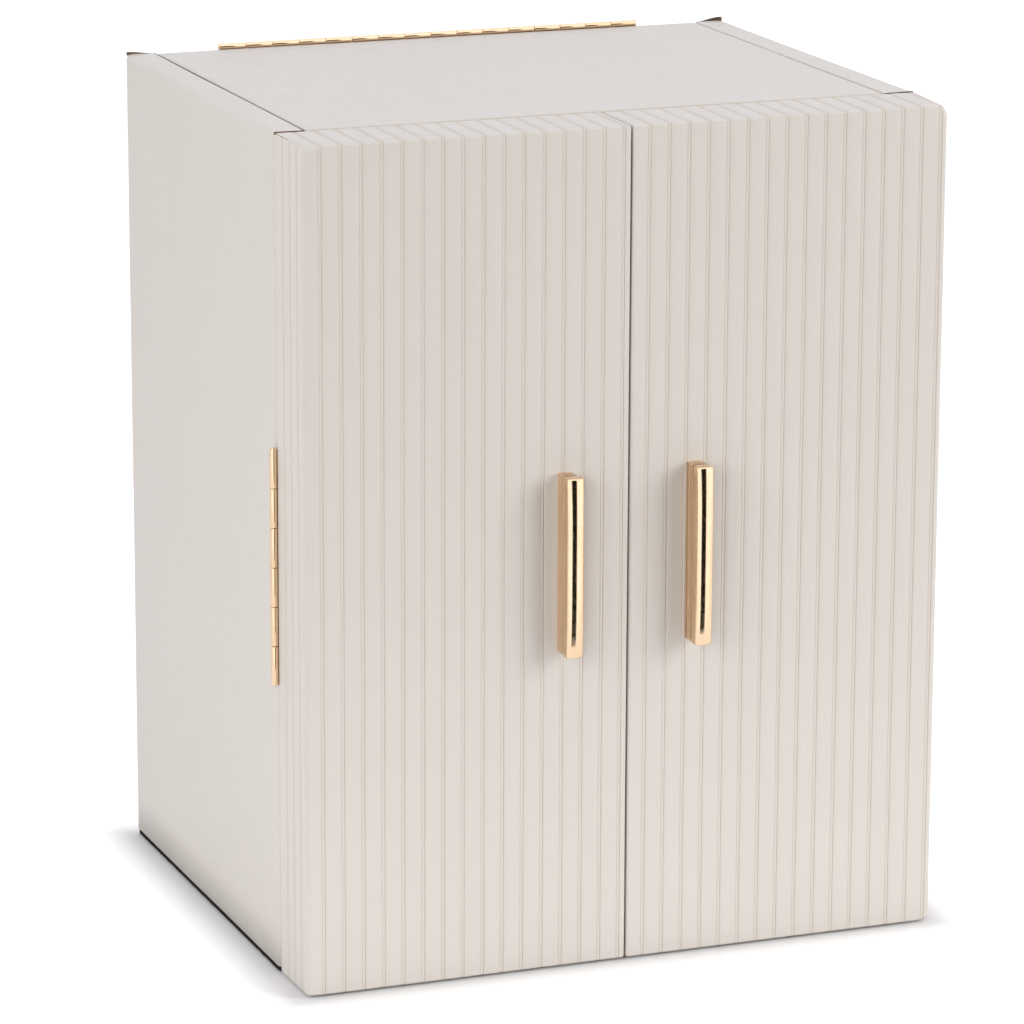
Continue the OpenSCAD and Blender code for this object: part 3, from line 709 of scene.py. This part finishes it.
def cut_edge_and_shadow_strips(side):
    """The dark raw edge of the leatherette lifted at a side board's rear upper corner, and strips of painted
    shadow in the gaps at its front upper corner and, on the left, beside the lid.
    """
    low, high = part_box("side_wrap_left")
    bm = bmesh.new()
    rear_rise = {"left": 1.0, "right": 1.5}[side] * MM
    rear, front, inner = [], [], []
    for k in range(15):
        t = k / 14
        x = high.x + (low.x + 0.3 * MM - high.x) * t
        spot = Vector((x, high.y - 0.55 * MM + 0.15 * MM * math.sin(3 * t), high.z - 0.3 * MM))
        rear.append((spot, 0.5 * MM, 0.3 * MM + rear_rise * ease(t * 1.1)))
        out, down = 0.12 * MM + 0.35 * MM * t ** 2, 0.72 * MM + 0.15 * MM * t ** 3
        front.append((Vector((x, low.y - out, high.z - down)), 0.85 * MM, (0.75 + 0.35 * t ** 2) * MM))
        spot = Vector((high.x + 0.2 * MM, low.y + (high.y - low.y) * t, high.z - 0.95 * MM))
        inner.append((spot, 0.44 * MM, 0.95 * MM))
    # The front and inner strips are painted shadow set in the gaps; the rear one is the lifted raw edge.
    for spine in (rear, front, inner) if side == "left" else (rear, front):
        sweep(bm, spine, STRIP_SECTION)
    for_side(bm, side)
    build("cut_edge_and_shadow_strips_" + side, bm, "case", "leatherette", "side_wrap_" + side, material=RAW_EDGE_AND_SHADOW)


def door_seam(side):
    """The mitred seam along a door's outer upper edge, whose glued edge shows as a few dark dashes."""
    low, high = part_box("door_wrap_left")
    bm = bmesh.new()
    for start, end in SEAM_DASHES[side]:
        spine = []
        for k, thick in enumerate((0.05, 0.2, 0.26, 0.2, 0.05)):
            back = (start + (end - start) * k / 4) * MM
            radius = DOOR_EDGE_R + DOOR_OUTER_TOP_R[side] * ease(back / DOOR_ROUNDING_REACH)
            drop = radius * (1 - math.sqrt(0.5)) + 0.12 * MM
            spot = Vector((low.x + drop, high.y - back, high.z - drop))
            spine.append((spot, 1.3 * thick * MM, (thick + 0.04) * MM))
        sweep(bm, spine, STRIP_SECTION)
    for_side(bm, side)
    build("door_seam_" + side, bm, "door_" + side, "leatherette", "door_wrap_" + side, material=RAW_EDGE_AND_SHADOW)


# ---- Handles ----

BAR_D = 5.4 * MM
BAR_CROWN = 0.9 * MM
BAR_EDGE_R = 1.4 * MM
STEM_W = 5.2 * MM
NECK_INSET = 0.8 * MM
NECK_LENGTH = 1.3 * MM
HANDLE_END_R = 0.7 * MM


def door_handle(side):
    """A bar handle: a flat stem and a wider bar, crowned across and along its front."""
    low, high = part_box("door_handle_" + side)
    middle_x, middle_z = (low.x + high.x) / 2, (low.z + high.z) / 2
    half_w, half_len = (high.x - low.x) / 2, (high.z - low.z) / 2
    y_bar = low.y + BAR_D
    front = []
    for across in (-1, -0.5, -0.35, -0.2, 0, 0.2, 0.35, 0.5, 1):
        corner_r = BAR_EDGE_R if abs(across) == 1 else 0
        front.append((middle_x + across * half_w, low.y + BAR_CROWN * across ** 2, corner_r))
    bar = [*front, (middle_x + half_w, y_bar, 0.8 * MM), (middle_x - half_w, y_bar, 0.8 * MM)]
    stem_x, neck_x, neck_y = STEM_W / 2, STEM_W / 2 - NECK_INSET, y_bar + NECK_LENGTH
    half_stem = [(neck_x, y_bar - 0.5 * MM, 0), (neck_x, neck_y, 0), (stem_x, neck_y + 0.3 * MM, 0),
                 (stem_x, neck_y + 0.8 * MM, 0), (stem_x, high.y + 0.3 * MM, 0.4 * MM)]
    stem = [(middle_x + x, y, r) for x, y, r in half_stem]
    stem += [(middle_x - x, y, r) for x, y, r in reversed(half_stem)]

    def crown(spot):
        along = (spot.z - middle_z) / half_len
        spot.y = y_bar + (spot.y - y_bar) * (1 - 0.13 * along ** 4)
        return spot

    bm = bmesh.new()
    painted_shade = bm.verts.layers.float.new("painted_shade")
    rows = spread(low.z + HANDLE_END_R, high.z - HANDLE_END_R, 14)
    loft(bm, fillet_outline(bar), low.z, high.z, HANDLE_END_R, rows, crown)
    loft(bm, fillet_outline(stem), low.z + 0.12 * MM, high.z - 0.12 * MM, 0.35 * MM)
    # Painted shade in the neck between the stem and the bar.
    for v in bm.verts:
        if y_bar - 0.4 * MM < v.co.y < neck_y + 0.4 * MM:
            v[painted_shade] = 0.85
    build("bar_handle_" + side, bm, "door_" + side, "gold_metal", "door_handle_" + side)


# ---- Velvet trays and linings ----

LINING_T = 0.8 * MM


def border_profile(depth, lip, fillet):
    """Points (distance inside a cell's border, how far down) over a lip, a wall and a fillet at its foot."""
    steep = 0.12 * MM
    over = [(-lip * (1 - math.sin(a)), lip * (1 - math.cos(a))) for a in QUARTER]
    foot = [(steep + fillet * (1 - math.cos(a)), depth - fillet * (1 - math.sin(a))) for a in QUARTER]
    return over + foot


def read_profile(profile, distance):
    """How far down a profile is at a distance inside the border."""
    if distance <= profile[0][0]:
        return profile[0][1]
    for (a, down_a), (b, down_b) in zip(profile, profile[1:]):
        if distance <= b:
            return down_a + (down_b - down_a) * (distance - a) / (b - a)
    return profile[-1][1]


def fill_gaps(places, longest, low, high):
    """Sorted places from low to high without near repeats, with more added where they are far apart."""
    kept = [low]
    for spot in sorted(p for p in places if low < p < high - 0.02 * MM):
        if spot - kept[-1] > 0.02 * MM:
            kept.append(spot)
    kept.append(high)
    filled = [low]
    for a, b in zip(kept, kept[1:]):
        filled += spread(a, b, int((b - a) / longest)) + [b]
    return filled


def soft_tray(low, high, cells, lip, rim_r, turn=None, fillet=0.8 * MM, longest=9 * MM):
    """A block from low to high with soft edges and cells (x0, y0, x1, y1, floor) sunk into its top.
    turn takes the block from lying face up to where it belongs."""
    bm = bmesh.new()
    profiles = [border_profile(high.z - cell[4], lip, fillet) for cell in cells]
    rim = [rim_r * (1 - math.cos(a)) for a in QUARTER]
    xs = [low.x + r for r in rim] + [high.x - r for r in rim]
    ys = [low.y + r for r in rim] + [high.y - r for r in rim]
    for (x0, y0, x1, y1, _), profile in zip(cells, profiles):
        for offset, _ in profile:
            xs += [x0 + offset, x1 - offset]
            ys += [y0 + offset, y1 - offset]
    xs = fill_gaps(xs, longest, low.x, high.x)
    ys = fill_gaps(ys, longest, low.y, high.y)

    def top_height(x, y):
        gap = min(x - low.x, high.x - x, y - low.y, high.y - y)
        lean = min(max((rim_r - gap) / rim_r, 0), 1)
        down = rim_r * (1 - math.sqrt(1 - lean * lean))
        for (x0, y0, x1, y1, _), profile in zip(cells, profiles):
            down = max(down, read_profile(profile, min(x - x0, x1 - x, y - y0, y1 - y)))
        return high.z - down

    grid = [[bm.verts.new((x, y, top_height(x, y))) for y in ys] for x in xs]
    skin_grid(bm, grid)
    rim_loop = [column[0] for column in grid] + grid[-1][1:]
    rim_loop += [column[-1] for column in reversed(grid[:-1])] + grid[0][-2:0:-1]
    foot_loop = [bm.verts.new((v.co.x, v.co.y, low.z)) for v in rim_loop]
    for k in range(len(rim_loop)):
        bm.faces.new((foot_loop[k - 1], foot_loop[k], rim_loop[k], rim_loop[k - 1]))
    bm.faces.new(list(reversed(foot_loop)))
    if turn is not None:
        bm.transform(turn)
    bmesh.ops.recalc_face_normals(bm, faces=bm.faces)
    return bm


def velvet_piece(name, bm, body, seed, *nodes, uneven=0.1 * MM):
    """A piece covered with velvet, slightly uneven as glued pile is."""
    ripple(bm, uneven, 0.011, seed)
    build(name, bm, body, "velvet", *nodes)


def compartment():
    """The lining of the top compartment, and the low walls that part it."""
    low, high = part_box("compartment_lining")
    wall = LINING_T
    cell = (low.x + wall, low.y + wall, high.x - wall, high.y - wall, low.z + wall)
    bm = soft_tray(low, high, [cell], 0.35 * MM, 0.3 * MM)
    velvet_piece("tray_lining", bm, "case", 31.0, "compartment_lining", uneven=0.06 * MM)
    low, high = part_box("compartment_dividers")
    half = 1.5 * MM
    beyond = 9 * MM
    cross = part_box("ring_rolls")[1].y + 0.3 * MM
    third = (high.y - low.y) / 3
    floor = low.z + 0.2 * MM
    cells = [
        (low.x - beyond, low.y - beyond, -half, cross, floor),
        (low.x - beyond, cross + 2 * half, -half, high.y + beyond, floor),
    ]
    for k in range(3):
        front = low.y + k * third + half if k else low.y - beyond
        back = low.y + (k + 1) * third - half if k < 2 else high.y + beyond
        cells.append((half, front, high.x + beyond, back, floor))
    bm = soft_tray(low, high, cells, 1.2 * MM, 0.2 * MM, fillet=0.15 * MM)
    velvet_piece("tray_walls", bm, "case", 37.0, "compartment_dividers", uneven=0.08 * MM)


def lid_lining():
    """The lid's velvet underside, with an opening for the mirror."""
    low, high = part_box("lid_lining")
    glass_low, glass_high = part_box("lid_mirror")
    upside_down = Matrix.Diagonal((1, 1, -1, 1))
    cell = (glass_low.x, glass_low.y, glass_high.x, glass_high.y, -high.z + 0.1 * MM)
    block_low = Vector((low.x, low.y, -high.z))
    block_high = Vector((high.x, high.y, -low.z))
    bm = soft_tray(block_low, block_high, [cell], 0.4 * MM, 0.4 * MM, upside_down, fillet=0.1 * MM)
    velvet_piece("lid_underside", bm, "lid", 41.0, "lid_lining", uneven=0.05 * MM)


# Cells across and from front to back in each drawer, from the top
DRAWER_CELLS = ((3, 2), (3, 1), (2, 1), (1, 1))
INSERT_WALL = 3 * MM
INSERT_FLOOR = 2 * MM


def drawer(number):
    """A drawer: its wrapped box, its velvet insert and its two knobs."""
    body = "drawer_%d" % number
    parts = ("box", "insert", "knobs")
    box_node, insert_node, knob_node = ("drawer_%s_%d" % (part, number) for part in parts)
    low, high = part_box(box_node)
    insert_low, insert_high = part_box(insert_node)
    cell = (insert_low.x, insert_low.y, insert_high.x, insert_high.y, insert_low.z)
    bm = soft_tray(low, high, [cell], 0.9 * MM, 0.9 * MM, fillet=0.05 * MM, longest=16 * MM)
    ripple(bm, 0.05 * MM, 0.05, 50.0 + number)
    build("drawer_cover_%d" % number, bm, body, "leatherette", box_node)

    across, deep = DRAWER_CELLS[number - 1]
    pitch_x = (insert_high.x - insert_low.x - INSERT_WALL) / across
    pitch_y = (insert_high.y - insert_low.y - INSERT_WALL) / deep
    floor = insert_low.z + INSERT_FLOOR
    cells = []
    for i in range(across):
        for j in range(deep):
            x, y = insert_low.x + i * pitch_x, insert_low.y + j * pitch_y
            cells.append((x + INSERT_WALL, y + INSERT_WALL, x + pitch_x, y + pitch_y, floor))
    bm = soft_tray(insert_low, insert_high, cells, 1.2 * MM, 0.6 * MM)
    velvet_piece("drawer_tray_%d" % number, bm, body, 60.0 + number, insert_node)

    bm = bmesh.new()
    knob_low, knob_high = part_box(knob_node)
    for side in SIDES.values():
        x = side * (knob_high.x - KNOB_R)
        spot = Matrix.Translation((x, low.y, (knob_low.z + knob_high.z) / 2))
        turned(bm, KNOB_PROFILE, spot @ Matrix.Rotation(math.radians(90), 4, "X"), 40)
    build("knob_pair_%d" % number, bm, body, "gold_metal", knob_node, sharp=40)


# A knob's profile from its stud to the crown of its domed head, as radius and height
KNOB_R = 5 * MM
KNOB_PROFILE = [(r * MM, z * MM) for r, z in (
    (0, -4), (1.5, -4), (1.5, 0), (3.0, 0.02), (3.2, 0.2), (3.2, 0.8), (3.0, 1.1), (2.5, 1.25), (2.0, 1.6),
    (1.8, 2.3), (1.8, 3.3), (2.1, 4.0), (3.2, 4.4), (4.5, 4.55), (4.9, 4.85), (5.0, 5.5), (4.9, 6.4),
    (4.5, 7.2), (3.7, 8.0), (2.6, 8.6), (1.4, 8.92), (0, 9.0),
)]


def door_lining(side):
    """The velvet in a door's recess, up its sides to the door's back."""
    low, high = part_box("door_lining_" + side)
    wall = LINING_T
    stand_up = Matrix(((1, 0, 0, 0), (0, 0, 1, 0), (0, 1, 0, 0), (0, 0, 0, 1)))
    flat_low = Vector((low.x, low.z, low.y))
    flat_high = Vector((high.x, high.z, high.y - 0.05 * MM))
    cell = (flat_low.x + wall, flat_low.y + wall, flat_high.x - wall, flat_high.y - wall, flat_low.z + wall)
    bm = soft_tray(flat_low, flat_high, [cell], 0.35 * MM, 0.3 * MM, stand_up)
    seed = {"left": 71.0, "right": 73.0}[side]
    velvet_piece("door_velvet_" + side, bm, "door_" + side, seed, "door_lining_" + side, uneven=0.07 * MM)


# The hooks' rods and balls, and the rosettes at their feet
HOOK_COUNT = 5
HOOK_ROD_R = 1.2 * MM
HOOK_REACH = 8 * MM
HOOK_RISE = 4 * MM
HOOK_BALL_R = 1.7 * MM
HOOK_ELBOW_R = 2.4 * MM
ROSETTE_R = 3.2 * MM
ROSETTE = [(r * MM, z * MM) for r, z in (
    (0, -3.5), (1.0, -3.5), (1.0, 0), (3.1, 0.02), (3.2, 0.15), (3.15, 0.5), (2.7, 0.9),
    (1.9, 1.15), (0, 1.2),
)]


def hook_rod(bm, base):
    """A rod out of the lining that turns up into a ball."""
    path = [Vector((0, 0.3 * MM, 0)), Vector((0, HOOK_REACH - HOOK_ELBOW_R, 0))]
    for k in range(1, 7):
        a = math.radians(15 * k)
        out = HOOK_REACH - HOOK_ELBOW_R * (1 - math.sin(a))
        path.append(Vector((0, out, HOOK_ELBOW_R * (1 - math.cos(a)))))
    path.append(Vector((0, HOOK_REACH, HOOK_RISE)))
    spine = [(base + point, HOOK_ROD_R, HOOK_ROD_R) for point in path]
    sweep(bm, spine, circle(16), Vector((1, 0, 0)), ends=False)
    angles = [math.radians(-90 + 15 * k) for k in range(13)]
    ball = [(HOOK_BALL_R * math.cos(a), HOOK_BALL_R * math.sin(a)) for a in angles]
    ball[0], ball[-1] = (0, -HOOK_BALL_R), (0, HOOK_BALL_R)
    turned(bm, ball, Matrix.Translation(base + path[-1]), 24)


def necklace_hooks(side):
    """Five hooks in a row near the top of a door's recess."""
    node = "necklace_hooks_" + side
    low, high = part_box(node)
    lined_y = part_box("door_lining_" + side)[0].y + LINING_T
    first, last = low.x + ROSETTE_R, high.x - ROSETTE_R
    bm = bmesh.new()
    for k in range(HOOK_COUNT):
        x = first + (last - first) * k / (HOOK_COUNT - 1)
        base = Vector((x, lined_y, low.z + ROSETTE_R))
        hook_rod(bm, base)
        turned(bm, ROSETTE, Matrix.Translation(base) @ Matrix.Rotation(math.radians(-90), 4, "X"), 32)
    build("hook_row_" + side, bm, "door_" + side, "gold_metal", node, sharp=40)


def necklace_pocket(side):
    """A gathered velvet pocket, open at the top, where an elastic draws it into small folds."""
    node = "necklace_pocket_" + side
    low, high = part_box(node)
    columns, rows = 92, 26
    seed = SIDES[side]
    bm = bmesh.new()
    grid = []
    for i in range(columns + 1):
        across = -1 + 2 * i / columns
        hang = 1 - abs(across) ** 4
        fold = math.sin(i * 0.86 + 1.3 * noise.noise(Vector((i * 0.13, 0, seed))))
        x = low.x + (high.x - low.x) * (across + 1) / 2
        column = []
        for j in range(rows + 1):
            up = j / rows
            swell = 0.45 + 0.55 * math.sin(math.pi * min(up * 1.25, 1)) ** 0.7
            belly = (high.y - low.y - 1.2 * MM) * hang * swell
            belly *= ease(up / 0.12) * (1 - 0.25 * ease((up - 0.75) / 0.25))
            belly += 0.42 * MM * fold * hang * ease((up - 0.25) / 0.7)
            belly += 0.3 * MM * noise.noise(Vector((i * 0.09, j * 0.16, 3 * seed)))
            z = low.z + (high.z - low.z - 0.8 * MM) * up
            column.append(bm.verts.new((x, low.y + 0.25 * MM + max(belly, 0), z)))
        grid.append(column)
    skin_grid(bm, grid, flip=True)
    edge_path = [column[-1].co.copy() for column in grid]
    pocket = finish_mesh("gathered_pocket_" + side, bm, MATERIALS["velvet"], 70)
    thicken(pocket, 0.7 * MM, 1)
    place(pocket, "door_" + side, "velvet", node)
    hem = pocket_hem(side, edge_path)


def pocket_hem(side, path):
    """The rolled hem that holds the pocket's elastic."""
    bm = bmesh.new()
    radii = [(0.75 + 0.08 * math.sin(1.7 * k)) * MM for k in range(len(path))]
    sweep(bm, [(point, r, 1.3 * r) for point, r in zip(path, radii)], circle(10))
    hem = finish_mesh("pocket_hem_" + side, bm, MATERIALS["velvet"], 70)
    place(hem, "door_" + side, "velvet", "necklace_pocket_" + side)
    return hem


# ---- Ring cushion ----

ROLL_COUNT = 6
ROLL_GAP = 0.6 * MM
ROLL_VOXEL = 3 * MM
ROLL_START_INSET = 0.9 * MM
# The farthest that the filling may push a point of the cloth
ROLL_SWELL = 1.1 * MM
CLOTH_PRESSURE = 4.0
CLOTH_FRAMES = 20


def lie_down(spot):
    """Turns what stands along Z to lie along X."""
    return Vector((spot.z, spot.x, spot.y))


def roll_blanks():
    """Six slightly slack rolls with rounded tops, side by side."""
    low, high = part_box("ring_rolls")
    pitch = (high.y - low.y + ROLL_GAP) / ROLL_COUNT
    width = pitch - ROLL_GAP
    half = width / 2 - ROLL_START_INSET
    top, foot = high.z - ROLL_START_INSET, low.z + 0.2 * MM
    rows = spread(low.x, high.x, 20)
    bm = bmesh.new()
    for k in range(ROLL_COUNT):
        middle = low.y + pitch * k + width / 2
        corners = [(middle - half, foot, 2 * MM), (middle + half, foot, 2 * MM),
                   (middle + half, top, half * 0.96), (middle - half, top, half * 0.96)]
        outline = fillet_outline(corners, 6)
        loft(bm, outline, low.x + 0.5 * MM, high.x - 0.5 * MM, 1.9 * MM, rows, lie_down)
    return bm


def apply_modifiers(piece):
    """Bakes a piece's modifiers at the present frame into its mesh."""
    depsgraph = bpy.context.evaluated_depsgraph_get()
    mesh = bpy.data.meshes.new_from_object(piece.evaluated_get(depsgraph))
    piece.modifiers.clear()
    piece.data = mesh


def inflate(piece, swell):
    """Fills a closed cloth piece by simulation; no point moves farther than swell."""
    start = [v.co.copy() for v in piece.data.vertices]
    cloth = piece.modifiers.new("Cloth", "CLOTH")
    adjust(cloth.settings, quality=6, mass=0.15, use_pressure=True, shrink_min=-0.02,
           uniform_pressure_force=CLOTH_PRESSURE, tension_stiffness=20, compression_stiffness=20,
           shear_stiffness=20)
    cloth.settings.effector_weights.gravity = 0
    scene = bpy.context.scene
    for step in range(1, CLOTH_FRAMES + 1):
        scene.frame_set(step)
    apply_modifiers(piece)
    scene.frame_set(1)
    for v, before in zip(piece.data.vertices, start):
        move = v.co - before
        if move.length > swell:
            v.co = before + move.normalized() * swell


def ring_cushion():
    """Six stuffed velvet rolls that hold rings between them."""
    rolls = finish_mesh("ring_cushion", roll_blanks(), MATERIALS["velvet"], 180)
    adjust(rolls.modifiers.new("Remesh", "REMESH"), mode="VOXEL", voxel_size=ROLL_VOXEL)
    apply_modifiers(rolls)
    inflate(rolls, ROLL_SWELL)
    low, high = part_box("ring_rolls")
    pitch = (high.y - low.y + ROLL_GAP) / ROLL_COUNT
    half = pitch / 2 - 0.15 * MM
    for v in rolls.data.vertices:
        number = min(max(int((v.co.y - low.y) / pitch), 0), ROLL_COUNT - 1)
        centre = low.y + pitch * number + (pitch - ROLL_GAP) / 2
        v.co.y = min(max(v.co.y, centre - half), centre + half)
        v.co.z = max(v.co.z, low.z + 0.1 * MM)
        v.co.x = min(max(v.co.x, low.x), high.x)
    for polygon in rolls.data.polygons:
        polygon.use_smooth = True
    adjust(rolls.modifiers.new("Smooth", "SUBSURF"), levels=1, render_levels=1)
    apply_modifiers(rolls)
    rolls.data.materials.clear()
    rolls.data.materials.append(MATERIALS["velvet"])
    place(rolls, "case", "velvet", "ring_rolls")


# ---- Back and base ----

def back_wrap():
    """The leatherette over the back board's rear face."""
    low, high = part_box("back_wrap")
    xs = edge_samples(low.x, high.x, 0.5 * MM, 0.5 * MM, 24)
    ys = edge_samples(low.y, high.y, 0.4 * MM, 0.4 * MM, [])
    rows = spread(low.z + 2 * MM, high.z - 2 * MM, 28)
    radii = (0.2 * MM, 0.2 * MM, 0.45 * MM, 0.45 * MM)
    bm = board_skin(low, high, radii, 0.4 * MM, 0.4 * MM, xs, ys, rows)
    ripple(bm, 0.08 * MM, 0.05, 83.0)
    build("back_cover", bm, "case", "leatherette", "back_wrap", sharp=60)


def base_front():
    """The leatherette over the base board's front edge and the strip of it under the lowest drawer."""
    low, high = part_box("base_board")
    low = Vector((low.x + 0.02 * MM, low.y - 0.2 * MM, low.z + 0.1 * MM))
    high = Vector((high.x - 0.02 * MM, low.y + 24 * MM, high.z + 0.1 * MM))
    xs = edge_samples(low.x, high.x, 0.3 * MM, 0.3 * MM, 24)
    ys = edge_samples(low.y, high.y, 0.3 * MM, 0.8 * MM, 2)
    bm = board_skin(low, high, [0.3 * MM] * 4, 0.4 * MM, 0.8 * MM, xs, ys, [(low.z + high.z) / 2])
    ripple(bm, 0.04 * MM, 0.03, 91.0)
    build("base_front_cover", bm, "case", "leatherette", sharp=60)


def felt_pad():
    """The felt pad under the case, with a soft, slightly uneven edge."""
    low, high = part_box("base_felt")
    xs = edge_samples(low.x, high.x, 3 * MM, 0.6 * MM, 40)
    ys = edge_samples(low.y, high.y, 3 * MM, 0.6 * MM, 34)
    bm = board_skin(low, high, [2.5 * MM] * 4, 0.6 * MM, 0.3 * MM, xs, ys, [low.z + 0.9 * MM])
    for v in bm.verts:
        v.co.x += 0.2 * MM * noise.noise(v.co / 0.006)
        v.co.y += 0.2 * MM * noise.noise(v.co / 0.006 + Vector((9, 0, 0)))
    build("felt_pad", bm, "case", "base_felt", "base_felt")


# ---- Stage ----

VIEW_AZIMUTH = math.radians(-21.08)
VIEW_ELEVATION = math.radians(14.41)
VIEW_ROLL = math.radians(0.195)
VIEW_DISTANCE = 1.868
VIEW_AIM = Vector((-0.0162, -0.029, 0.1493))
VIEW_LENS = 181.6
# Brightness of the studio's tent in front of the object and behind it, as light and in reflections
TENT_FRONT = 0.3
TENT_FRONT_SHINE = 1.45
TENT_BACK = 0.75
TENT_BACK_SHINE = 1.22
# Brightness of its opening and of the plain backdrop that the camera sees
OPENING_LIGHT = 0.01
BACKDROP_LIGHT = 1.1
# The floor ends this far in front of the doors, like a tabletop
FLOOR_FRONT = 0.3
FLOOR_HALF = 4
FLOOR_DROP = 0.0002
# Distances from the object between which the floor's painted glow rises and fades it to white; nearer, the
# lack of glow paints a contact shadow
FLOOR_FADE = (0.001, 0.021)
FLOOR_GLOW = 0.62
# Share of that glow that shines on the object
FLOOR_GLOW_SHARE = 0.3
# Soft boxes: name, azimuth, elevation, distance from their aim, size, power and colour
LIGHT_AIM = Vector((0, 0, 0.15))
SOFT_BOXES = (
    ("left_panel", -50, 18, 1.8, (1.5, 1.1), 16.9, (1.0, 0.985, 0.97)),
    ("right_panel", 48, 20, 1.8, (1.0, 1.1), 20.2, (1.0, 0.99, 0.985)),
    ("overhead", 180, 86, 1.6, (0.4, 0.4), 3.4, (0.86, 0.94, 1.08)),
)


def toward(azimuth, elevation):
    """Direction from the object to a place round it; azimuth 0 is the front."""
    return Vector((
        math.sin(azimuth) * math.cos(elevation),
        -math.cos(azimuth) * math.cos(elevation),
        math.sin(elevation),
    ))


def make_camera():
    data = bpy.data.cameras.new("camera")
    camera = bpy.data.objects.new("camera", data)
    bpy.context.scene.collection.objects.link(camera)
    adjust(data, lens=VIEW_LENS, sensor_width=36, clip_end=100)
    back = toward(VIEW_AZIMUTH, VIEW_ELEVATION)
    camera.location = VIEW_AIM + back * VIEW_DISTANCE
    look = (-back).to_track_quat("-Z", "Y").to_matrix().to_4x4()
    camera.rotation_euler = (look @ Matrix.Rotation(VIEW_ROLL, 4, "Z")).to_euler()
    bpy.context.scene.camera = camera


def area_light(name, azimuth, elevation, distance, size, power, color):
    """A soft box round the object, aimed at its middle and not seen in reflections."""
    data = bpy.data.lights.new(name, "AREA")
    adjust(data, shape="RECTANGLE", size=size[0], size_y=size[1], energy=power, color=color)
    light = bpy.data.objects.new(name, data)
    adjust(light, visible_camera=False, visible_glossy=False)
    bpy.context.scene.collection.objects.link(light)
    back = toward(math.radians(azimuth), math.radians(elevation))
    light.location = LIGHT_AIM + back * distance
    light.rotation_euler = (-back).to_track_quat("-Z", "Y").to_euler()


# The dark opening of the studio, between these azimuths and elevations
OPENING_AZIMUTHS = (math.radians(-16), math.radians(21))
OPENING_ELEVATIONS = (math.radians(-26), math.radians(30))
OPENING_EDGE = 0.03


def studio_world():
    """A white tent with a dark opening at the front, and plain white behind everything."""
    world = bpy.data.worlds.new("studio")
    bpy.context.scene.world = world
    world.use_nodes = True
    tree = Tree(world.node_tree)
    direction = tree.put("ShaderNodeTexCoord").outputs["Generated"]

    def inside(normal):
        """1 on the side of a plane through the middle that its normal points to."""
        dot = tree.vector_math("DOT_PRODUCT", direction, normal)["Value"]
        return tree.span(dot, -OPENING_EDGE, OPENING_EDGE, interpolation_type="SMOOTHSTEP")

    left, right = OPENING_AZIMUTHS
    low, high = OPENING_ELEVATIONS
    middle = (left + right) / 2
    opening = inside(toward(left + math.pi / 2, 0))
    for normal in (toward(right - math.pi / 2, 0), toward(middle, low + math.pi / 2),
                   toward(middle, high - math.pi / 2)):
        opening = tree.math("MULTIPLY", opening, inside(normal))
    rays = tree.put("ShaderNodeLightPath").outputs
    front = tree.blend(rays["Is Glossy Ray"], TENT_FRONT, TENT_FRONT_SHINE)
    back = tree.blend(rays["Is Glossy Ray"], TENT_BACK, TENT_BACK_SHINE)
    walls = tree.span(inside(Vector((0, 1, 0))), 0, 1, front, back)
    tent = tree.blend(opening, walls, OPENING_LIGHT)
    strength = tree.blend(rays["Is Camera Ray"], tent, BACKDROP_LIGHT)
    tree.feed(tree.nodes["Background"], {"Strength": strength, "Color": (1.0, 0.99, 1.03, 1)})


def make_floor():
    """A plain pale floor with a painted glow that fades it into the white studio, all but close to the
    object, where that paints a contact shadow.
    """
    s = Shader("studio_floor", (0.86, 0.86, 0.86), 0.9)
    s.paint(s.patches(0.5, 2), (0.86, 0.86, 0.86), (0.87, 0.87, 0.87))
    spot = s.put("ShaderNodeNewGeometry").outputs["Position"]
    footprint = (cad_high.x, -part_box("door_wrap_left")[0].y, 0)
    outside = s.vector_math("SUBTRACT", s.vector_math("ABSOLUTE", spot)[0], footprint)[0]
    outside = s.vector_math("MAXIMUM", outside, (0, 0, 0))[0]
    distance = s.vector_math("LENGTH", outside)["Value"]
    # Painted glow: none at the object's footprint, full about two centimetres out, which paints a contact
    # shadow near the object.
    glow = s.span(distance, *FLOOR_FADE, 0.0, FLOOR_GLOW)
    seen = s.put("ShaderNodeLightPath").outputs["Is Camera Ray"]
    dim = s.math("MULTIPLY", glow, FLOOR_GLOW_SHARE)
    glow = s.math("ADD", s.math("MULTIPLY", s.math("SUBTRACT", glow, dim), seen), dim)
    s.set({"Emission Color": (1, 1, 1, 1), "Emission Strength": glow})
    bm = bmesh.new()
    bmesh.ops.create_grid(bm, x_segments=8, y_segments=8, size=FLOOR_HALF)
    floor = finish_mesh("floor", bm, s.material)
    floor.location = (0, FLOOR_HALF + cad_low.y - FLOOR_FRONT, -FLOOR_DROP)


def make_stage():
    make_camera()
    make_floor()
    studio_world()
    for box in SOFT_BOXES:
        area_light(*box)
    bpy.context.scene.view_settings.view_transform = "Standard"


# ---- Assembly ----

finish_cad_nodes()
for side_name in SIDES:
    door_core(side_name)
    door_wrap(side_name)
    door_handle(side_name)
    side_wrap(side_name)
    cut_edge_and_shadow_strips(side_name)
    door_seam(side_name)
    door_lining(side_name)
    necklace_hooks(side_name)
    necklace_pocket(side_name)
lid_wrap()
lid_lining()
compartment()
ring_cushion()
for drawer_number in range(1, 5):
    drawer(drawer_number)
back_wrap()
base_front()
felt_pad()
make_stage()
